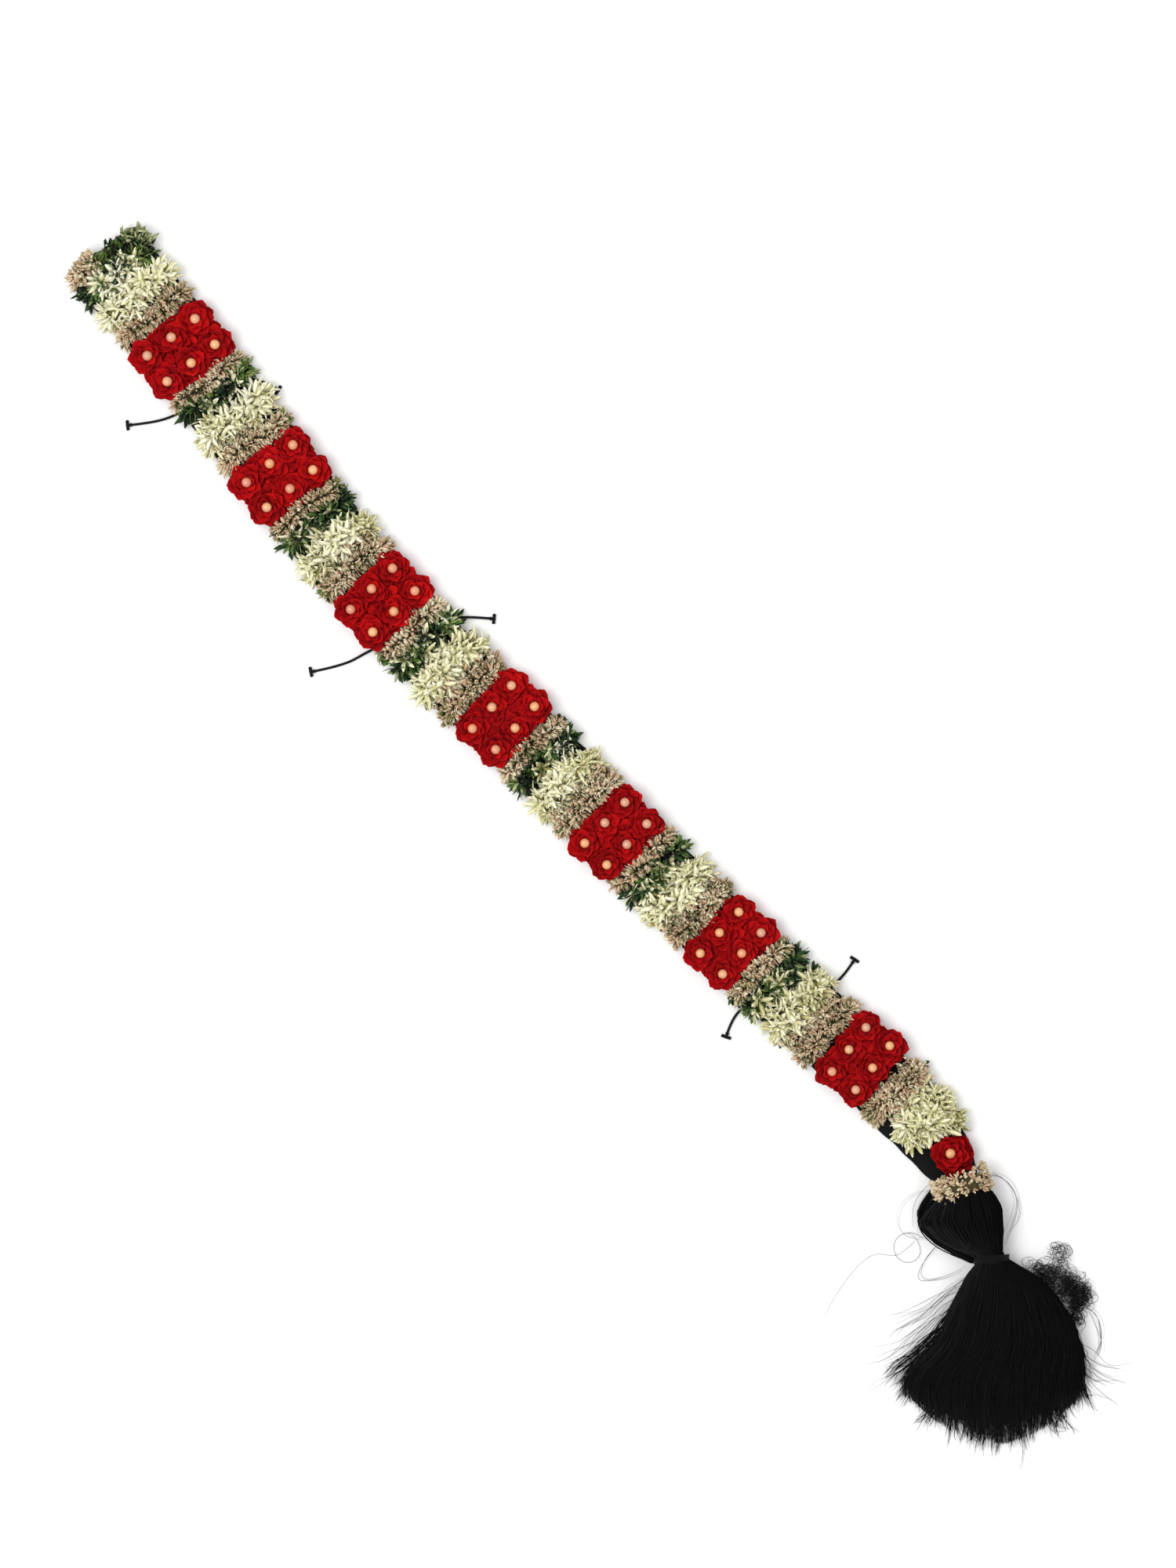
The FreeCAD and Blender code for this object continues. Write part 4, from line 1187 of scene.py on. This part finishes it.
def yarn_at(station, angle, out):
    """Places on the yarn: a station between the sections, an angle round, and a share outwards."""
    count = len(SECTIONS)
    station = np.clip(station, 0, count - 1)
    side, down, wide, tall, centre, turn = (
        smooth_curve(np.arange(count, dtype=float), column, station) for column in SECTIONS.T
    )
    sideways, up = wide * out * np.cos(angle), tall * out * np.sin(angle)
    turn = np.radians(turn)
    down = down - sideways * np.sin(turn)
    # The outer strands end sooner
    tip = np.clip(station - (TIPS - 1.0), 0, 1)
    down = down - tip * CUT_DEPTH * np.abs(np.cos(angle) * np.minimum(out, 1.0)) ** CUT_POWER
    return side + sideways * np.cos(turn), down, centre + up


# %% Strands
BULB_STRANDS, SKIRT_STRANDS = 500, 1350


def add_strands(pile, lines, radius, taper_to, ring=3):
    """Thin tubes along lines[strand, row, xyz]."""
    way = unit(np.gradient(lines, axis=1))
    helper = np.array([0.0, 0.0, 1.0])
    first = unit(np.cross(way, helper) + 1e-6)
    second = np.cross(way, first)
    angle = 2 * math.pi * np.arange(ring) / ring
    rows = lines.shape[1]
    thin = np.interp(np.linspace(0, 1, rows), [0, 0.7, 1], [1, 1, taper_to])
    size = (np.broadcast_to(radius, len(lines))[:, None] * thin)[..., None, None]
    circle = np.cos(angle)[:, None] * first[:, :, None] + np.sin(angle)[:, None] * second[:, :, None]
    points = lines[:, :, None] + circle * size
    along = np.repeat(np.linspace(0, 1, rows), ring)
    lots = spread(0, 1, len(lines))
    pile.add(points.reshape(len(lines), -1, 3), tube_faces(rows, ring), along, lots)


# %% Yarn body
BODY_ROWS, BODY_RING = 60, 48
stations = np.linspace(0, 12.72, BODY_ROWS)[:, None]
angles = np.linspace(0, 2 * math.pi, BODY_RING + 1)[:-1][None, :]
ridges = 0.90 + 0.035 * np.cos(22 * angles)
body = from_tassel(*yarn_at(stations + 0 * angles, angles + 0 * stations, ridges + 0 * stations))
pile = Pile()
pile.add(body.reshape(1, -1, 3), tube_faces(BODY_ROWS, BODY_RING), 0.3, 0.2)

# %% Lines for the strands


def strand_lines(first, last, count, rows, jitter, locks):
    """Lines over the yarn from one station to another, drawn together into locks at their ends."""
    start = spread(0, 2 * math.pi, count)
    place = start / (2 * math.pi) * locks
    nearest = np.round(place)
    lock = nearest / locks * 2 * math.pi + 0.5 * jitter * chance.normal(0, 1, count)
    t = np.linspace(0, 1, rows)[None, :]
    pull = 0.75 * t ** 3
    angle = start[:, None] * (1 - pull) + lock[:, None] * pull
    sway = spread(0, 2 * math.pi, count)[:, None]
    angle = angle + jitter * np.sin(t * 7 + sway) * t
    out = spread(0.90, 1.01, count)[:, None] + 0.02 * np.sin(t * 11 + sway)
    # Each lock has its own length, and its outer strands are shorter
    tips = chance.normal(0, 1, locks + 1)[nearest.astype(int)]
    end = last + 0.11 * tips - 0.28 * np.abs(place - nearest) + chance.normal(0, 0.04, count)
    fray = np.clip(chance.normal(0, 0.05, count), -0.12, 0.09)[:, None] * t ** 4
    if last == TIPS:
        out = out + fray
    station = first + (end[:, None] - first) * t
    return from_tassel(*yarn_at(station, angle, out + 0 * station))


def loose_lines(count, loose, places, rows):
    """Strands that pass near a few places (side, down, height), drifting apart and curling a little."""
    places = np.array(places, float)
    knots = np.arange(len(places), dtype=float)
    wanted = np.linspace(0, knots[-1], rows)
    smooth = np.stack([smooth_curve(knots, places[:, i], wanted) for i in range(3)], axis=-1)
    t = np.linspace(0, 1, rows)[None, :, None]
    drift = 1.3 * loose * np.clip(chance.normal(0, 1, (count, 1, 3)), -1.4, 1.4) * [1, 1, 0.3] * (0.4 + t)
    curl = chance.normal(0, 0.45 * loose, (count, 1, 3)) * np.sin(t * spread(4, 13, count)[:, None, None])
    moved = smooth[None] + drift + curl
    return from_tassel(moved[..., 0], moved[..., 1], np.maximum(moved[..., 2], 0.4))


# %% Bulb strands
BULGES = [
    # how many, spread in mm, then the places (side, down, height) that they pass
    (100, 1.0, [
        (-12, -3, 12), (-16, 2, 11), (-21, 9, 10), (-23.6, 16, 9),
        (-21.6, 23, 8), (-14.5, 30, 9), (-4, 36, 9.5), (8, 41, 10),
    ]),
    (80, 1.0, [
        (-10, -3, 13), (-13, 3, 13), (-17, 10, 12), (-20, 17, 11),
        (-18, 23, 10), (-12, 30, 10), (-3, 36, 10), (8, 41, 10),
    ]),
]
lines = strand_lines(BULB_TOP, NECK, BULB_STRANDS, rows=15, jitter=0.05, locks=60)
add_strands(pile, lines, spread(0.30, 0.48, BULB_STRANDS), taper_to=0.9)
for count, loose, places in BULGES:
    add_strands(pile, loose_lines(count, loose, places, 18), spread(0.30, 0.48, count), taper_to=0.9)
pile.piece("tassel_yarn_bulb", dark["black_yarn"], ["tassel_yarn"], lowest=0.15)

# %% Skirt strands
FRAYED = [
    # how many, spread in mm, then the places (side, down, height) that they pass
    (34, 2.4, [(-6, 80, 6), (-20, 94, 5), (-31, 104, 3), (-38, 112, 1)]),
    (30, 2.6, [(-8, 92, 6), (-20, 104, 4), (-28, 113, 2), (-33, 121, 1)]),
    (26, 2.6, [(56, 92, 6), (64, 105, 4), (68, 116, 2), (71, 125, 1)]),
    (16, 2.0, [(2, 62, 8), (-8, 76, 6), (-18, 90, 4), (-28, 101, 1)]),
    (16, 2.0, [(54, 76, 8), (62, 88, 5), (69, 100, 3), (74, 109, 1)]),
    (26, 3.0, [(-6, 112, 6), (-12, 121, 4), (-16, 128, 2), (-19, 133, 1)]),
    (26, 3.0, [(44, 112, 6), (52, 124, 4), (57, 133, 2), (60, 139, 1)]),
]
# Short spikes all along the round cut: how far past it, half the width of the skirt there, how high
SPIKE = [(-28, 43, 6), (-15, 44, 5), (-6, 45, 3), (2, 46, 1.5)]
SKIRT_SIDE, SKIRT_DOWN = SECTIONS[-1, :2]
for share in (-0.72, -0.5, -0.3, -0.12, 0.08, 0.3, 0.5, 0.7):
    low = SKIRT_DOWN - CUT_DEPTH * abs(share) ** CUT_POWER
    spike = [(SKIRT_SIDE + wide * share, low + past, height) for past, wide, height in SPIKE]
    FRAYED.append((20, 2.3, spike))
pile = Pile()
lines = strand_lines(NECK, TIPS, SKIRT_STRANDS, rows=15, jitter=0.06, locks=44)
add_strands(pile, lines, spread(0.26, 0.44, SKIRT_STRANDS), taper_to=0.3)
for count, loose, places in FRAYED:
    add_strands(pile, loose_lines(count, loose, places, 14), spread(0.16, 0.34, count), taper_to=0.25)
pile.piece("tassel_yarn_skirt", dark["black_yarn"], ["tassel_yarn"], lowest=0.15)

# %% Neck binding
turns, steps, thread_radius, clear_by = 7, 40, 0.42, 0.85
neck_side, neck_down, neck_wide, neck_tall, neck_height, _ = SECTIONS[NECK]
angle = np.linspace(0, 2 * math.pi * turns, turns * steps)
along = np.linspace(-2.2, 2.2, turns * steps) + 0.25 * np.sin(angle * 0.37)
side = neck_side + (neck_wide + clear_by) * np.cos(angle)
height = neck_height + (neck_tall + clear_by) * np.sin(angle)
wound = from_tassel(side, neck_down + along, np.maximum(height, 0.8))
pile = Pile()
add_strands(pile, wound[None], thread_radius, taper_to=1.0, ring=6)
pile.piece(
    "tassel_neck_thread", dark["black_thread"], ["tassel_binding"], lowest=0.1,
)

# %% [markdown]
# ## Loose threads and the frizzy lock
# What makes the tassel look real is what got away from it: fine threads that loop beside the bulb,
# wisps at both sides of the skirt, and one tuft that has frizzed up into curls. The wisps follow
# measured places, with a little chance in each. The tuft is a crowd of thin coils.

# %% Wisps
WISPS = [
    # how many, spread in mm, then the places (side, down, height) that they pass
    (3, 1.4, [(-10, -4, 12), (-20, 2, 8), (-26, 14, 4), (-25, 25, 2)]),
    (2, 1.0, [(-12, 2, 10), (-30, 6, 4), (-37, 20, 2), (-30, 29, 2), (-18, 28, 4)]),
    (1, 0.3, [
        (-22, 30, 6), (-30, 27, 2), (-38, 31, 1), (-38, 40, 1),
        (-30, 44, 1), (-24, 38, 1), (-28, 29, 1), (-34, 27, 1),
    ]),
    (1, 0.3, [(-27, 32, 1.5), (-38, 40, 1), (-50, 39, 1), (-63, 50, 1), (-74, 66, 1), (-81, 78, 1)]),
    (3, 1.2, [(14, -6, 12), (24, -4, 8), (32, 8, 3), (30, 22, 2), (25, 34, 5)]),
    (2, 1.0, [(17, -8, 12), (28, 0, 6), (33, 16, 2), (27, 27, 4)]),
    (2, 0.8, [(-14, 34, 3), (-22, 45, 2), (-22, 53, 1), (-10, 52, 2), (2, 46, 6)]),
    (7, 2.2, [(4, 52, 8), (-9, 62, 5), (-22, 72, 2), (-40, 78, 1)]),
    (9, 2.6, [(2, 58, 9), (-10, 68, 6), (-24, 80, 3), (-36, 93, 1)]),
    (7, 2.8, [(-4, 68, 9), (-16, 80, 6), (-32, 93, 3), (-50, 100, 1)]),
    (6, 2.4, [(-8, 78, 8), (-20, 90, 6), (-36, 104, 3), (-46, 112, 1)]),
    (9, 3.0, [(56, 84, 9), (66, 94, 6), (78, 104, 2), (90, 107, 1)]),
    (7, 3.0, [(62, 92, 8), (68, 108, 5), (76, 118, 2), (84, 124, 1)]),
    (5, 1.2, [(64, 66, 5), (76, 74, 2), (80, 88, 1), (78, 98, 1)]),
    (2, 0.6, [(35, 142, 3), (36, 152, 1.5), (35, 163, 1)]),
]
pile = Pile()
for count, loose, places in WISPS:
    thin = 0.12 if count == 1 else 0.07
    lines = loose_lines(count, loose, places, 22)
    add_strands(pile, lines, spread(thin, thin + 0.08, count), taper_to=0.5)
pile.piece("tassel_wisps", dark["black_thread"], lowest=0.15)

# %% Frizzy lock
TUFTS = [
    # how many curls, the middle (side, down), the two radii and the turn in degrees, the coil's size
    (80, 66.0, 61.0, 9.0, 6.0, -50.0, 2.6), (44, 57.0, 54.0, 12.0, 8.0, -35.0, 4.4),
    (24, 50.0, 60.0, 9.0, 5.0, -50.0, 3.6), (18, 56.0, 41.0, 8.0, 5.0, -70.0, 3.6),
    (34, 64.0, 72.0, 9.0, 4.5, -75.0, 3.0), (20, 43.0, 50.0, 9.0, 4.0, -30.0, 3.8),
]
pile = Pile()
t = np.linspace(0, 1, 30)[None, :]
for curls, middle_side, middle_down, long_radius, short_radius, turn, size in TUFTS:
    around, far = spread(0, 2 * math.pi, curls)[:, None], np.sqrt(spread(0, 1, curls))[:, None]
    u, v = long_radius * far * np.cos(around), short_radius * far * np.sin(around)
    heading, tilt = spread(0, 2 * math.pi, curls)[:, None], spread(-0.5, 0.5, curls)[:, None]
    coil, turns = spread(0.35, 1.0, curls)[:, None] * size, spread(6, 17, curls)[:, None]
    phase, span = spread(0, 6.28, curls)[:, None], spread(4, 11, curls)[:, None] * (t - 0.5)
    u = u + span * np.cos(heading) + coil * np.cos(turns * t + phase)
    v = v + span * np.sin(heading) + coil * np.sin(turns * t + phase)
    height = spread(0.8, 8.0, curls)[:, None] + span * np.sin(tilt) + 0.5 * coil * np.sin(turns * t * 1.3)
    c, s = math.cos(math.radians(turn)), math.sin(math.radians(turn))
    side, down = middle_side + u * c + v * s, middle_down - u * s + v * c
    lines = from_tassel(side, down, np.clip(height, 0.4, 11.0))
    add_strands(pile, lines, spread(0.12, 0.22, curls), taper_to=0.6)
pile.piece(
    "tassel_frizz_curls", dark["black_thread"], ["tassel_frizz"], lowest=0.15,
)

# %% Collar of buds
# The collar stands COLLAR_GAP mm off the yarn's section at the top of the bulb
COLLAR_BUDS, BUD_PETALS, COLLAR_GAP = 190, 3, 1.4
_, _, top_wide, top_tall, top_height, top_turn = SECTIONS[1]


def collar_places(angle, along):
    """Places round the top of the bulb, some way along its axis."""
    sideways, turn = (top_wide + COLLAR_GAP) * np.cos(angle), math.radians(top_turn)
    side = sideways * math.cos(turn) - along * math.sin(turn)
    down = -(sideways * math.sin(turn) + along * math.cos(turn))
    height = top_height + (top_tall + COLLAR_GAP) * np.sin(angle)
    return from_tassel(side, down, np.maximum(height, 3.5))


angle, along = spread(-0.35, math.pi + 0.35, COLLAR_BUDS), spread(-4.6, 7.5, COLLAR_BUDS)
base = collar_places(angle, along)
axis = unit(base - from_tassel(0.0, 0.0, top_height))
axis = unit(axis + chance.normal(0, 0.3, axis.shape))
out, face = flower_petals(axis, BUD_PETALS, spread(0.3, 0.8, COLLAR_BUDS), 0.15)
petals = len(out)
lot = np.repeat(chance.normal(0.68, 0.26, COLLAR_BUDS), BUD_PETALS) + chance.normal(0, 0.14, petals)
pile = Pile()
add_petals(
    pile, np.repeat(base, BUD_PETALS, axis=0), out, face, length=spread(2.6, 4.4, petals),
    width=spread(1.3, 2.1, petals), bend=spread(0.0, 1.2, petals), lot=np.clip(lot, 0, 1),
    outline=BUD_OUTLINE, ring=SMALL_RING, thick=0.6,
)
# A band under the buds, in the dark root colour: painted shade beneath them
ring = np.linspace(0, 2 * math.pi, 37)[:-1][None, :]
shift = np.linspace(-4.4, 4.4, 8)[:, None]
band = collar_places(ring + 0 * shift, shift + 0 * ring)
pile.add(band.reshape(1, -1, 3), tube_faces(8, 36), 0.0, 0.3)
pile.piece("tassel_collar_buds", tan_cloth, ["tassel_collar"], lowest=0.3)

# %% [markdown]
# ## Finish
# The triangles of the pieces built from piles are added up and printed.

# %% Finish
print("triangles in all", sum(triangle_counts))
